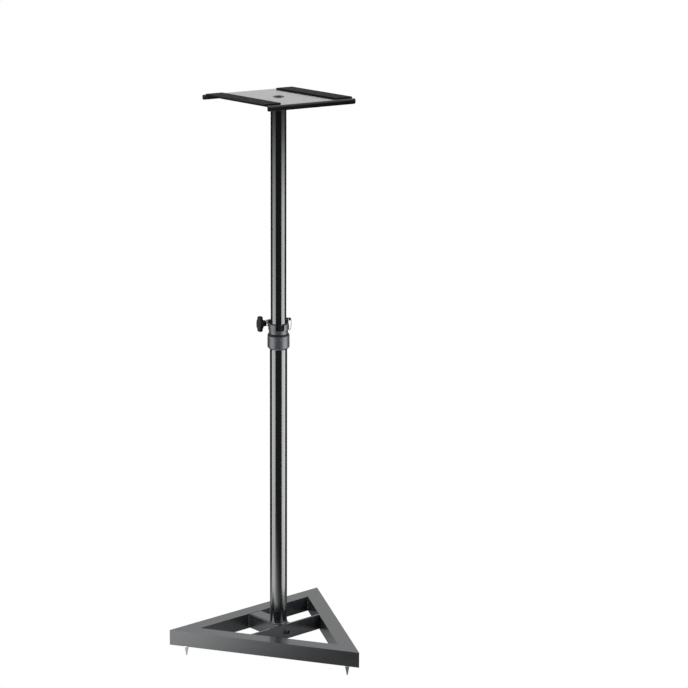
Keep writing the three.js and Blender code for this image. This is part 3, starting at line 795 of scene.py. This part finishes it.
@dataclass(frozen=True)
class WeldBead:
    """A run of weld ripples along a line or round a ring.

    The swells and the dip are the factors by which one section is wider or narrower than the last.
    """

    radius: float = 1.7 * MM
    ripple: float = 1.5 * MM
    sides: int = 10
    least_ripples: int = 3
    end_share: float = 0.5
    first_swell: float = 1.9
    first_dip: float = 1.3
    swell: float = 1.38
    end_taper: float = 0.62
    pinch: float = 0.8
    shade_angle: float = 60.0

    def straight(self, name: str, start: Vector, end: Vector) -> bpy.types.Object:
        """Builds a bead along a straight line.

        Args:
            name: The bead's name.
            start: One end.
            end: The other end.

        Returns:
            The bead.
        """
        run = end - start
        count = max(self.least_ripples, round(run.length / self.ripple))
        half_step = run.length / count / 2
        piece = Bench.cylinder(name, self.radius * self.end_share, 0.0, half_step, self.sides)
        Bench.upper_face(piece)
        last = count * 2 - 2
        for section in range(last + 1):
            Bench.draw_up(half_step)
            Bench.widen(self._growth(section, last))
        Bench.done()
        Bench.smooth(piece, self.shade_angle)
        Bench.turn(piece, Matrix.Translation(start) @ UP.rotation_difference(run).to_matrix().to_4x4())
        return piece

    def _growth(self, section: int, last: int) -> float:
        """Finds how much wider a section of a straight bead is than the one before it.

        Args:
            section: The section's number, from 0.
            last: The last section's number.

        Returns:
            The factor.
        """
        if section == last:
            return self.end_taper
        if section < 2:
            return (self.first_swell, 1 / self.first_dip)[section]
        return 1 / self.swell if section % 2 else self.swell

    def ring(self, name: str, centre: Vector, radius: float) -> bpy.types.Object:
        """Builds a bead round an upright tube.

        Args:
            name: The bead's name.
            centre: The ring's middle.
            radius: Radius of the bead's centre line.

        Returns:
            The bead.
        """
        count = 2 * round(math.pi * radius / self.ripple)
        Bench.clear()
        bpy.ops.mesh.primitive_torus_add(
            major_radius=radius, minor_radius=self.radius, major_segments=count,
            minor_segments=self.sides, location=centre)
        piece = Bench.named(name)
        Bench.apply(piece)
        self._pinch(piece, centre, radius, count)
        Bench.smooth(piece, self.shade_angle)
        return piece

    def _pinch(self, piece: bpy.types.Object, centre: Vector, radius: float, count: int) -> None:
        """Draws every second section of a ring in, which leaves ripples.

        Args:
            piece: The ring.
            centre: Its middle.
            radius: Radius of its centre line.
            count: Number of its sections.
        """
        for point in piece.data.vertices:
            flat = Vector((point.co.x - centre.x, point.co.y - centre.y, 0.0))
            section = round(math.atan2(flat.y, flat.x) / (2 * math.pi) * count)
            if section % 2:
                core = centre + flat.normalized() * radius
                point.co = core + (point.co - core) * self.pinch
        piece.data.update()


@dataclass(frozen=True)
class ThreadedRod:
    """A rod with thread ridges, made along Z.

    The ends, flanks, crests and roots are shares of the pitch.
    """

    radius: float
    pitch: float
    depth: float
    sides: int = 20
    least_ridges: int = 2
    end: float = 0.25
    flank: float = 0.3
    crest: float = 0.1
    root: float = 0.3
    shade_angle: float = 50.0

    def build(self, name: str, bottom: float, top: float) -> bpy.types.Object:
        """Builds the rod from a short cylinder that is extruded ridge by ridge.

        Args:
            name: The rod's name.
            bottom: Lower end.
            top: Upper end.

        Returns:
            The rod.
        """
        count = max(self.least_ridges, round((top - bottom) / self.pitch))
        step = (top - bottom) / count
        core = self.radius - self.depth
        piece = Bench.cylinder(name, core, bottom, bottom + step * self.end, self.sides)
        Bench.upper_face(piece)
        for _ in range(count):
            Bench.draw_up(step * self.flank)
            Bench.widen(self.radius / core)
            Bench.draw_up(step * self.crest)
            Bench.draw_up(step * self.flank)
            Bench.widen(core / self.radius)
            Bench.draw_up(step * self.root)
        Bench.done()
        Bench.trim(piece, top)
        Bench.smooth(piece, self.shade_angle)
        return piece


@dataclass(frozen=True)
class HexFitting:
    """A hexagon nut or bolt head with chamfered corners, made along Z.

    The rim and the drop are shares of the width across flats. What lies further out than the
    corner share of the reach belongs to a corner.
    """

    flats: float
    bore: float = 0.0
    bore_sides: int = 24
    rim: float = 0.045
    drop: float = 0.05
    corner_share: float = 0.99
    edge: float = 0.15 * MM

    def build(self, name: str, bottom: float, top: float) -> bpy.types.Object:
        """Builds the fitting from a six-sided cylinder.

        Args:
            name: The fitting's name.
            bottom: Lower face.
            top: Upper face.

        Returns:
            The fitting.
        """
        piece = Bench.cylinder(name, self.flats / math.sqrt(3), bottom, top, 6)
        for sign in (1, -1):
            Bench.faces(piece, lambda f, s=sign: f.normal.z * s > FACING)
            bpy.ops.mesh.inset(thickness=self.flats * self.rim)
            Bench.done()
        self._drop_corners(piece, bottom, top)
        if self.bore:
            self._open(piece, bottom, top)
        Bench.bevel(piece, self.edge)
        Bench.smooth(piece)
        return piece

    def _drop_corners(self, piece: bpy.types.Object, bottom: float, top: float) -> None:
        """Lowers the outer corners of both faces, which leaves the chamfer.

        Args:
            piece: The fitting.
            bottom: Lower face.
            top: Upper face.
        """
        outermost = self.flats / math.sqrt(3) * self.corner_share
        for height, sign in ((top, -1), (bottom, 1)):
            Bench.edges(piece, lambda a, b, z=height: all(
                abs(end.z - z) < SAME_HEIGHT and end.xy.length > outermost for end in (a, b)))
            bpy.ops.transform.translate(value=(0, 0, sign * self.flats * self.drop))
            Bench.done()

    def _open(self, piece: bpy.types.Object, bottom: float, top: float) -> None:
        """Opens the bore with a round tool.

        Args:
            piece: The fitting.
            bottom: Lower face.
            top: Upper face.
        """
        tool = Bench.cylinder("bore_tool", self.bore, bottom - MM, top + MM, self.bore_sides)
        Bench.hold(piece)
        cut = piece.modifiers.new("bore", "BOOLEAN")
        cut.operation = "DIFFERENCE"
        cut.object = tool
        cut.solver = "EXACT"
        bpy.ops.object.modifier_apply(modifier=cut.name)
        bpy.data.objects.remove(tool)


# The thread and nut of the spikes and of the clamp screw
SCREW_ROD = ThreadedRod(radius=3.9 * MM, pitch=1.25 * MM, depth=0.5 * MM)
SCREW_NUT = HexFitting(flats=13.0 * MM, bore=4.15 * MM)


# ---- Sub-assemblies ----


@dataclass
class Stand:
    """What every sub-assembly works with."""

    nodes: dict[str, bpy.types.Object]
    paint: Paintshop
    pieces: list[bpy.types.Object] = field(default_factory=list)

    def add(self, piece: bpy.types.Object, body: Body, finish: Finish, *nodes: str) -> None:
        """Dresses a new piece, puts it on its body and reports it.

        Args:
            piece: The finished piece.
            body: The body it rides on.
            finish: Its finish.
            nodes: CAD nodes that it stands for.
        """
        self.paint.dress(piece, finish)
        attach(piece, body.value)
        if nodes:
            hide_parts(*nodes)
        self.pieces.append(piece)
        LOG.info("%s on %s, %d faces", piece.name, body.value, len(piece.data.polygons))

    def refine(self, node: str, body: Body, finish: Finish, width: float,
               cuts: Iterable[float] = ()) -> None:
        """Replaces a CAD node by a copy with rounded edges and smooth sides.

        Args:
            node: The CAD node.
            body: The body it rides on.
            finish: Its finish.
            width: Width of the rounded edges.
            cuts: Heights of level edge loops to add.
        """
        copy = Bench.carry_over(self.nodes[node], f"{node}_finished", width, cuts)
        self.add(copy, body, finish, node)

    def refine_rows(self, body: Body, rows: Rows) -> None:
        """Refines several CAD nodes of one body, in turn.

        Args:
            body: The body they ride on.
            rows: Each node with its finish and the width of its rounded edges.
        """
        for node, finish, width in rows:
            self.refine(node, body, finish, width)

    def keep(self, finish: Finish, *nodes: str) -> None:
        """Dresses CAD nodes whose shape stays as it is.

        Args:
            finish: Their finish.
            nodes: Their names.
        """
        for node in nodes:
            self.paint.dress(self.nodes[node], finish)
            LOG.info("%s kept from the frame", node)


@dataclass
class BaseFrame:
    """Welded triangle of square tube with its arm, cross bar and fixings."""

    stand: Stand
    side: float = 0.450
    rear_edge: float = 0.118
    corners: tuple[tuple[str, float], ...] = (("left", 150), ("right", 30), ("front", 270))
    front_turn: float = -90.0
    edge_round: float = 1.9 * MM
    edge_steps: int = 4
    corner_round: float = 1.0 * MM
    corner_steps: int = 3
    shade_angle: float = 40.0
    cross_back: float = 23.0 * MM
    bars: Rows = (("centre_arm", POWDER_COAT, 0.0), ("cross_bar", POWDER_COAT, 0.7 * MM))
    cross_bolt: Rows = (("cross_bar_bolt", BLACKENED, 0.25 * MM), ("cross_bar_washer", ZINC, 0.25 * MM))
    bead: WeldBead = field(default_factory=WeldBead)
    upright_weld_end: float = 3.5 * MM
    corner_weld_in: float = 1.2 * MM
    arm_weld_out: float = 0.4 * MM
    cross_weld_in: float = 0.8 * MM
    cross_weld_back: float = 0.7 * MM
    top_weld_end: float = 3.0 * MM
    top_weld_drop: float = 0.9 * MM
    foot_weld_rise: float = 0.6 * MM
    foot_head: HexFitting = HexFitting(flats=17.0 * MM)
    foot_rod: ThreadedRod = ThreadedRod(radius=4.9 * MM, pitch=1.5 * MM, depth=0.6 * MM)
    foot_head_gap: float = 0.3 * MM
    foot_rod_start: float = 0.5 * MM
    foot_rod_top: float = 0.0886
    washer_edge: float = 0.25 * MM

    def build(self) -> None:
        """Builds and dresses the base."""
        self._triangle()
        self.stand.refine_rows(Body.BASE, self.bars)
        self._welds()
        self.stand.refine_rows(Body.BASE, self.cross_bolt)
        self._foot_bolt()
        self.stand.keep(ZINC, "arm_end_plug", "tube_foot_plug", "spike_insert_left",
                        "spike_insert_right", "spike_insert_front")

    def _reach(self) -> float:
        """Distance of the sharp outer corners from the triangle's middle."""
        return self.side / math.sqrt(3)

    def _centre(self) -> Vector:
        """Middle of the triangle, seen from above."""
        return Vector((0.0, POLE.y + self.rear_edge - self.side / (2 * math.sqrt(3)), 0.0))

    def _triangle(self) -> None:
        """Models the three sides as one ground and coated frame."""
        middle = self._centre()
        reach = self._reach()
        piece = Bench.cylinder("base_triangle", reach, BASE_BOTTOM, BASE_TOP, 3)
        first = max(piece.data.vertices, key=lambda v: v.co.xy.length).co
        spin = math.radians(self.front_turn) - math.atan2(first.y, first.x)
        Bench.turn(piece, Matrix.Translation(middle) @ Matrix.Rotation(spin, 4, "Z"))
        Bench.faces(piece, lambda f: abs(f.normal.z) > FACING)
        bpy.ops.mesh.inset(thickness=BAR, use_even_offset=True)
        Bench.done()
        inner = reach - 2 * BAR
        Bench.faces(piece, lambda f: abs(f.normal.z) > FACING
                    and all((piece.data.vertices[i].co - middle).xy.length < inner + MM
                            for i in f.vertices))
        bpy.ops.mesh.bridge_edge_loops()
        Bench.done()
        Bench.edges(piece, lambda a, b: abs(a.z - b.z) > BAR / 2 and (a - middle).xy.length > reach - MM)
        bpy.ops.mesh.bevel(offset=self.corner_round, segments=self.corner_steps, affect="EDGES")
        Bench.done()
        Bench.bevel(piece, self.edge_round, self.edge_steps, self.shade_angle)
        Bench.smooth(piece, self.shade_angle)
        self.stand.add(piece, Body.BASE, POWDER_COAT, "rear_bar", "left_bar", "right_bar")

    def _welds(self) -> None:
        """Lays the beads in the inner corners, at the arm, the cross bar and the pole."""
        low, high = BASE_BOTTOM + self.upright_weld_end, BASE_TOP - self.upright_weld_end
        for name, spot in self._upright_beads():
            piece = self.bead.straight(name, Vector((*spot, low)), Vector((*spot, high)))
            self.stand.add(piece, Body.BASE, WELD_COAT)
        start = Vector((-BAR / 2 + self.top_weld_end, self._rear_inside(), BASE_TOP - self.top_weld_drop))
        end = start + Vector((BAR - 2 * self.top_weld_end, 0, 0))
        self.stand.add(self.bead.straight("weld_arm_top", start, end), Body.BASE, WELD_COAT)
        foot = Vector((POLE.x, POLE.y, BASE_TOP + self.foot_weld_rise))
        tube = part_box("lower_tube")[1].x
        self.stand.add(self.bead.ring("weld_pole_foot", foot, tube), Body.BASE, WELD_COAT)

    def _upright_beads(self) -> list[tuple[str, Vector]]:
        """Finds where the upright beads stand.

        Returns:
            Each bead's name and its place seen from above.
        """
        beads = []
        for name, degrees in self.corners:
            turn = math.radians(degrees)
            outward = Vector((math.cos(turn), math.sin(turn), 0))
            spot = self._centre() + outward * (self._reach() - 2 * BAR - self.corner_weld_in)
            beads.append((f"weld_corner_{name}", spot.xy))
        arm_y = self._rear_inside() - self.arm_weld_out
        cross_y = POLE.y - self.cross_back + self.cross_weld_back
        cross_x = self._half_at(-self.cross_back) - self.cross_weld_in
        for name, sign in (("left", -1), ("right", 1)):
            beads.append((f"weld_arm_{name}", Vector((sign * (BAR / 2 + self.arm_weld_out), arm_y))))
            beads.append((f"weld_cross_{name}", Vector((sign * cross_x, cross_y))))
        return beads

    def _rear_inside(self) -> float:
        """Inner face of the rear bar along Y."""
        return POLE.y + self.rear_edge - BAR

    def _half_at(self, offset: float) -> float:
        """Half the inner width of the triangle at a distance from the pole's axis."""
        apex = self._centre().y - self._reach() + 2 * BAR
        return (POLE.y + offset - apex) * math.tan(HALF_CORNER)

    def _foot_bolt(self) -> None:
        """Models the hexagon bolt and washer under the arm."""
        low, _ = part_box("foot_bolt")
        washer_low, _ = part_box("foot_washer")
        head = self.foot_head.build("foot_bolt_head", low.z, washer_low.z - self.foot_head_gap)
        shank = self.foot_rod.build(
            "foot_bolt_shank", washer_low.z - self.foot_rod_start, self.foot_rod_top)
        bolt = Bench.join("foot_bolt_hex", (head, shank))
        Bench.turn(bolt, Matrix.Translation(POLE))
        self.stand.add(bolt, Body.BASE, STEEL, "foot_bolt")
        self.stand.refine("foot_washer", Body.BASE, STEEL, self.washer_edge)


@dataclass
class Spikes:
    """Cone spikes with their lock nuts."""

    stand: Stand
    tip: float = 0.9 * MM
    tip_height: float = 0.6 * MM
    tip_flare: float = 0.35 * MM
    radius: float = 4.9 * MM
    sides: int = 32
    cone_top: float = 19.2 * MM
    shoulder: float = 20.6 * MM
    stem_start: float = 0.4 * MM  # below the shoulder
    top: float = 52.0 * MM
    edge: float = 0.2 * MM

    def build(self) -> None:
        """Builds the three spikes and nuts."""
        for corner, body in (("left", Body.SPIKE_LEFT), ("right", Body.SPIKE_RIGHT),
                             ("front", Body.SPIKE_FRONT)):
            low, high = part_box(f"spike_{corner}")
            place = Matrix.Translation(((low.x + high.x) / 2, (low.y + high.y) / 2, 0))
            self._spike(corner, body, place)
            low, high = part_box(f"spike_nut_{corner}")
            nut = SCREW_NUT.build(f"lock_nut_{corner}", low.z, high.z)
            Bench.turn(nut, place)
            self.stand.add(nut, Body.BASE, STEEL, f"spike_nut_{corner}")

    def _spike(self, corner: str, body: Body, place: Matrix) -> None:
        """Models one spike: a turned cone and a threaded stem.

        Args:
            corner: The corner's name.
            body: The body it rides on.
            place: Where it stands.
        """
        cone = Bench.cylinder(f"cone_{corner}", self.tip, 0.0, self.tip_height, self.sides)
        Bench.upper_face(cone)
        flared = self.tip + self.tip_flare
        Bench.widen(flared / self.tip)
        Bench.draw_up(self.cone_top - self.tip_height)
        Bench.widen(self.radius / flared)
        Bench.draw_up(self.shoulder - self.cone_top)
        Bench.done()
        Bench.bevel(cone, self.edge)
        Bench.smooth(cone)
        stem = SCREW_ROD.build(f"stem_{corner}", self.shoulder - self.stem_start, self.top)
        piece = Bench.join(f"spike_{corner}_turned", (cone, stem))
        Bench.turn(piece, place)
        self.stand.add(piece, body, DARK_STEEL, f"spike_{corner}")


@dataclass
class Clutch:
    """Sleeve, clamp ring, hand clamp and safety pin."""

    stand: Stand
    rings: Rows = (
        ("lower_tube", LACQUER, 0.3 * MM), ("clutch_sleeve", SATIN, 0.35 * MM),
        ("sleeve_cap", PLASTIC, 0.25 * MM), ("clamp_ring", SATIN, 0.5 * MM),
        ("clamp_liner", PLASTIC, 0.2 * MM))
    bracket: Rows = (("pin_bracket", LACQUER, 0.25 * MM), ("bracket_screw", DARK_STEEL, 0.15 * MM))
    pin: Rows = (("safety_pin", BLACKENED, 0.15 * MM), ("pin_head", PLASTIC, 0.3 * MM))
    nut_turn: float = 30.0
    washer_edge: float = 0.25 * MM
    knob_edge: float = 0.9 * MM
    wire_radius: float = 0.6 * MM
    wire_round: int = 3
    wire_shade_angle: float = 50.0
    wire_length: float = 0.0420
    wire_route: tuple[tuple[float, float, float], ...] = (
        (0.0270, 0.0651, 0.7560), (0.0281, 0.0650, 0.7557), (0.0286, 0.0649, 0.7546),
        (0.0284, 0.0647, 0.7526), (0.0280, 0.0645, 0.7502), (0.0277, 0.0642, 0.7478),
        (0.0277, 0.0639, 0.7457), (0.0281, 0.0637, 0.7440), (0.0290, 0.0635, 0.7431),
        (0.0301, 0.0633, 0.7433), (0.0311, 0.0632, 0.7445), (0.0319, 0.0632, 0.7465),
        (0.0326, 0.0632, 0.7490), (0.0332, 0.0632, 0.7520), (0.0336, 0.0633, 0.7552),
        (0.0339, 0.0635, 0.7586), (0.0341, 0.0637, 0.7618), (0.0341, 0.0640, 0.7647),
        (0.0338, 0.0642, 0.7667), (0.0331, 0.0644, 0.7678), (0.0322, 0.0645, 0.7680))

    def build(self) -> None:
        """Builds and dresses the clutch."""
        self.stand.refine_rows(Body.BASE, self.rings)
        self.stand.keep(PLASTIC, "guide_liner")
        self._clamp_screw()
        self._knob()
        self.stand.refine_rows(Body.BASE, self.bracket)
        self.stand.refine_rows(Body.PIN, self.pin)
        self._wire()

    def _clamp_screw(self) -> None:
        """Models the threaded clamp screw with its nut and washer."""
        low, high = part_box("clamp_screw")
        place = Matrix.Translation((0, (low.y + high.y) / 2, (low.z + high.z) / 2)) @ level(0)
        rod = SCREW_ROD.build("clamp_screw_threaded", low.x, high.x)
        Bench.turn(rod, place)
        self.stand.add(rod, Body.KNOB, STEEL, "clamp_screw")
        low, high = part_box("clamp_nut")
        nut = SCREW_NUT.build("clamp_nut_hex", low.x, high.x)
        Bench.turn(nut, place @ Matrix.Rotation(math.radians(self.nut_turn), 4, "Z"))
        self.stand.add(nut, Body.BASE, STEEL, "clamp_nut")
        self.stand.refine("clamp_washer", Body.BASE, STEEL, self.washer_edge)

    def _knob(self) -> None:
        """Rounds the edges of the wing knob."""
        knob = Bench.carry_over(self.stand.nodes["clamp_knob"], "clamp_wing", self.knob_edge)
        self.stand.add(knob, Body.KNOB, PLASTIC, "clamp_knob")

    def _wire(self) -> None:
        """Models the retaining wire between the bracket's screw and the pin's head."""
        line = bpy.data.curves.new("retaining_wire", "CURVE")
        line.dimensions = "3D"
        line.bevel_depth = self.wire_radius
        line.bevel_resolution = self.wire_round
        line.use_fill_caps = True
        spline = line.splines.new("POLY")
        spline.points.add(len(self.wire_route) - 1)
        for point, place in zip(spline.points, self.wire_route):
            point.co = (*place, 1.0)
        wire = bpy.data.objects.new("retaining_wire", line)
        bpy.context.scene.collection.objects.link(wire)
        Bench.hold(wire)
        bpy.ops.object.convert(target="MESH")
        wire = Bench.named("retaining_wire")
        Bench.smooth(wire, self.wire_shade_angle)
        self.stand.paint.dress(wire, WIRE)
        self.stand.pieces.append(wire)
        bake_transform(wire)
        LOG.info("%s from base to pin, %d faces", wire.name, len(wire.data.polygons))


@dataclass
class Mast:
    """Upper tube, flange, carrier plate and rubber strips."""

    stand: Stand
    tube_edge: float = 0.25 * MM
    hole_pitch: float = 0.104
    holes: tuple[int, ...] = (-1, 0, 1, 2, 3, 4)
    cut_reach: float = 7.0 * MM
    plate: Rows = (
        ("top_flange", POWDER_COAT, 0.4 * MM), ("top_plate", PLATE_LACQUER, 0.4 * MM),
        ("left_strip", RUBBER, 0.25 * MM), ("right_strip", RUBBER, 0.25 * MM),
        ("plate_washer", ZINC, 0.15 * MM), ("plate_bolt", ZINC, 0.2 * MM))

    def build(self) -> None:
        """Builds and dresses the mast."""
        low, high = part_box("safety_pin")
        pin = (low.z + high.z) / 2
        cuts = [pin + step * self.hole_pitch + side * self.cut_reach
                for step in self.holes for side in (-1, 1)]
        self.stand.refine("upper_tube", Body.MAST, LACQUER, self.tube_edge, cuts)
        self.stand.refine_rows(Body.MAST, self.plate)
        self.stand.keep(PLASTIC, "guide_bush")


# ---- Studio ----


def grey(share: float) -> tuple[float, float, float, float]:
    """Gives a grey as a colour with full cover."""
    return (share, share, share, 1.0)


def white_to_camera(tree: Tree, strength: Socket) -> Socket:
    """Gives full strength to what the camera sees and leaves the strength to other rays.

    Args:
        tree: The node tree.
        strength: Socket with the strength that other rays see.

    Returns:
        The strength socket.
    """
    rays = tree.nodes.new("ShaderNodeLightPath")
    mix = tree.nodes.new("ShaderNodeMix")
    tree.links.new(rays.outputs["Is Camera Ray"], mix.inputs["Factor"])
    tree.links.new(strength, mix.inputs["A"])
    mix.inputs["B"].default_value = 1.0
    return mix.outputs["Result"]


def glow_material(name: str) -> tuple[bpy.types.Material, Socket]:
    """Starts a material that only glows.

    Args:
        name: The material's name.

    Returns:
        The material and the socket that takes its strength.
    """
    look = bpy.data.materials.new(name)
    look.use_nodes = True
    tree = look.node_tree
    tree.nodes.remove(tree.nodes["Principled BSDF"])
    glow = tree.nodes.new("ShaderNodeEmission")
    tree.links.new(glow.outputs["Emission"], tree.nodes["Material Output"].inputs["Surface"])
    return look, glow.inputs["Strength"]


@dataclass(frozen=True)
class SoftPanel:
    """An upright soft light panel beside the pole, and the painted pool of light at its foot.

    Its turn is from the camera's side, and its spread is half its width as an angle, both in
    degrees. Its heights give the share of its strength at some heights.
    """

    name: str
    turn: float
    spread: float
    strength: float
    pool: float
    top: float
    heights: tuple[tuple[float, float], ...]


@dataclass
class Studio:
    """Camera, pale floor and soft lights."""

    camera_place: tuple[float, float, float] = (-3.33626, -3.76583, 1.89445)
    camera_look: tuple[float, float, float] = (0.63948, 0.73481, -0.22610)
    lens: float = 122.54
    sensor: float = 36.0
    shift: float = 0.0952
    sight: float = 100.0
    floor_half: float = 40.0
    floor_parts: int = 8
    floor_drop: float = 0.2 * MM
    far_floor: float = 0.045
    base_pool: tuple[float, float] = (-0.46, 0.14)
    base_pool_reach: float = 0.34
    base_pool_strength: float = 3.0
    horizon: tuple[float, float] = (-0.01, 0.02)
    ground: float = 0.06
    sky: float = 1.0
    card_distance: float = 0.40
    card_pool_share: float = 0.85  # of the panels' distance
    card_pool_reach: float = 0.17
    left_card: SoftPanel = SoftPanel(
        "left_panel", turn=-68.5, spread=26.5, strength=5.9, pool=1.7, top=1.22, heights=(
            (0.05, 0.80), (0.35, 1.0), (0.60, 0.97), (0.70, 0.88), (0.85, 0.62), (0.97, 0.52),
            (1.07, 0.34), (1.13, 0.2), (1.19, 0.08)))
    right_card: SoftPanel = SoftPanel(
        "right_panel", turn=70.8, spread=26.6, strength=7.3, pool=2.0, top=1.22, heights=(
            (0.05, 0.78), (0.20, 0.93), (0.60, 1.0), (0.70, 0.9), (0.85, 0.82), (0.97, 0.75),
            (1.07, 0.40), (1.13, 0.17), (1.19, 0.07)))

    def build(self) -> None:
        """Builds the stage."""
        self._camera()
        self._floor()
        self._world()
        self._cards()
        view = bpy.context.scene.view_settings
        view.view_transform = "Standard"
        view.look = "None"

    def _camera(self) -> None:
        """Places the camera at the photograph's viewing angle."""
        data = bpy.data.cameras.new("photo_camera")
        data.sensor_width = self.sensor
        data.lens = self.lens
        data.shift_x = self.shift
        data.clip_end = self.sight
        camera = bpy.data.objects.new("photo_camera", data)
        camera.location = self.camera_place
        camera.rotation_euler = Vector(self.camera_look).to_track_quat("-Z", "Y").to_euler()
        bpy.context.scene.collection.objects.link(camera)
        bpy.context.scene.camera = camera

    def _floor(self) -> None:
        """Lays the pale floor.

        The camera sees it evenly white. Its glow paints pools of light that reflections see: bright near
        the stand and at the panels' feet, and dim far away.
        """
        Bench.clear()
        bpy.ops.mesh.primitive_grid_add(
            x_subdivisions=self.floor_parts, y_subdivisions=self.floor_parts,
            size=self.floor_half * 2, location=(0, 0, -self.floor_drop))
        floor = Bench.named("pale_floor")
        Bench.apply(floor)
        look, strength = glow_material("pale_floor")
        tree = look.node_tree
        place = object_place(tree)
        # Painted pools of light in the floor's glow, under the stand and at the panels' feet
        base = self._pool(tree, place, self.base_pool, self.base_pool_reach, self.base_pool_strength)
        total = math_node(tree, "ADD", base, self.far_floor)
        for card in (self.left_card, self.right_card):
            spot = self._beside(card.turn, self.card_distance * self.card_pool_share)
            pool = self._pool(tree, place, spot.xy, self.card_pool_reach, card.pool)
            total = math_node(tree, "ADD", total, pool)
        tree.links.new(white_to_camera(tree, total), strength)
        floor.data.materials.append(look)
        floor.visible_shadow = False

    def _pool(self, tree: Tree, place: Socket, centre: Iterable[float], reach: float,
              strength: float) -> Socket:
        """Builds a round painted pool of light, in the floor's glow, that fades with distance.

        Args:
            tree: The node tree.
            place: Socket with the coordinates.
            centre: The pool's middle on the floor.
            reach: Distance at which it has faded to about a third.
            strength: Brightness in the middle.

        Returns:
            The brightness socket.
        """
        away = tree.nodes.new("ShaderNodeVectorMath")
        away.operation = "DISTANCE"
        tree.links.new(place, away.inputs[0])
        away.inputs[1].default_value = (*centre, -self.floor_drop)
        ratio = math_node(tree, "DIVIDE", away.outputs["Value"], reach)
        falling = math_node(tree, "MULTIPLY", math_node(tree, "MULTIPLY", ratio, ratio), -1.0)
        return math_node(tree, "MULTIPLY", math_node(tree, "EXPONENT", falling, 0.0), strength)

    def _world(self) -> None:
        """Sets pale surroundings above the horizon and dim ones below it."""
        world = bpy.data.worlds.new("soft_surroundings")
        world.use_nodes = True
        bpy.context.scene.world = world
        tree = world.node_tree
        split = tree.nodes.new("ShaderNodeSeparateXYZ")
        tree.links.new(tree.nodes.new("ShaderNodeTexCoord").outputs["Generated"], split.inputs[0])
        around = range_node(tree, split.outputs["Z"], self.horizon, (self.ground, self.sky))
        background = tree.nodes["Background"]
        tree.links.new(white_to_camera(tree, around), background.inputs["Strength"])
        background.inputs["Color"].default_value = grey(1.0)

    def _beside(self, turn: float, distance: float) -> Vector:
        """A spot beside the pole, turned from the camera's side."""
        away = math.atan2(self.camera_place[1] - POLE.y, self.camera_place[0]) + math.radians(turn)
        return POLE + Vector((math.cos(away), math.sin(away), 0)) * distance

    def _cards(self) -> None:
        """Stands the two soft panels beside the pole."""
        for card in (self.left_card, self.right_card):
            foot = self._beside(card.turn, self.card_distance)
            width = 2 * self.card_distance * math.tan(math.radians(card.spread))
            Bench.clear()
            bpy.ops.mesh.primitive_plane_add(size=1.0)
            panel = Bench.named(card.name)
            facing = (POLE - foot).to_track_quat("Z", "Y").to_matrix().to_4x4()
            upright = Matrix.Translation(foot + Vector((0, 0, card.top / 2)))
            Bench.turn(panel, upright @ facing @ Matrix.Diagonal((width, card.top, 1.0, 1.0)))
            panel.data.materials.append(self._card_look(card))
            panel.visible_camera = False
            panel.visible_shadow = False

    def _card_look(self, card: SoftPanel) -> bpy.types.Material:
        """Builds a panel's glow, which fades towards its top.

        Args:
            card: The panel.

        Returns:
            The material.
        """
        look, strength = glow_material(card.name)
        tree = look.node_tree
        split = tree.nodes.new("ShaderNodeSeparateXYZ")
        tree.links.new(object_place(tree), split.inputs[0])
        curve = tree.nodes.new("ShaderNodeValToRGB")
        stops = curve.color_ramp.elements
        lowest, *others = card.heights
        stops[0].position, stops[1].position = lowest[0] / card.top, 1.0
        stops[0].color, stops[1].color = grey(lowest[1]), grey(0.0)
        for height, share in others:
            stops.new(height / card.top).color = grey(share)
        tree.links.new(math_node(tree, "DIVIDE", split.outputs["Z"], card.top), curve.inputs["Fac"])
        tree.links.new(math_node(tree, "MULTIPLY", curve.outputs["Color"], card.strength), strength)
        return look


def main() -> None:
    """Builds the stand round the frame."""
    logging.basicConfig(level=logging.INFO, format="%(name)s: %(message)s")
    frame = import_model()
    Studio().build()
    stand = Stand(frame["nodes"], Paintshop())
    BaseFrame(stand).build()
    Spikes(stand).build()
    Clutch(stand).build()
    Mast(stand).build()
    bpy.context.view_layer.update()
    LOG.info("%d new pieces", len(stand.pieces))


if __name__ == "__main__":
    main()
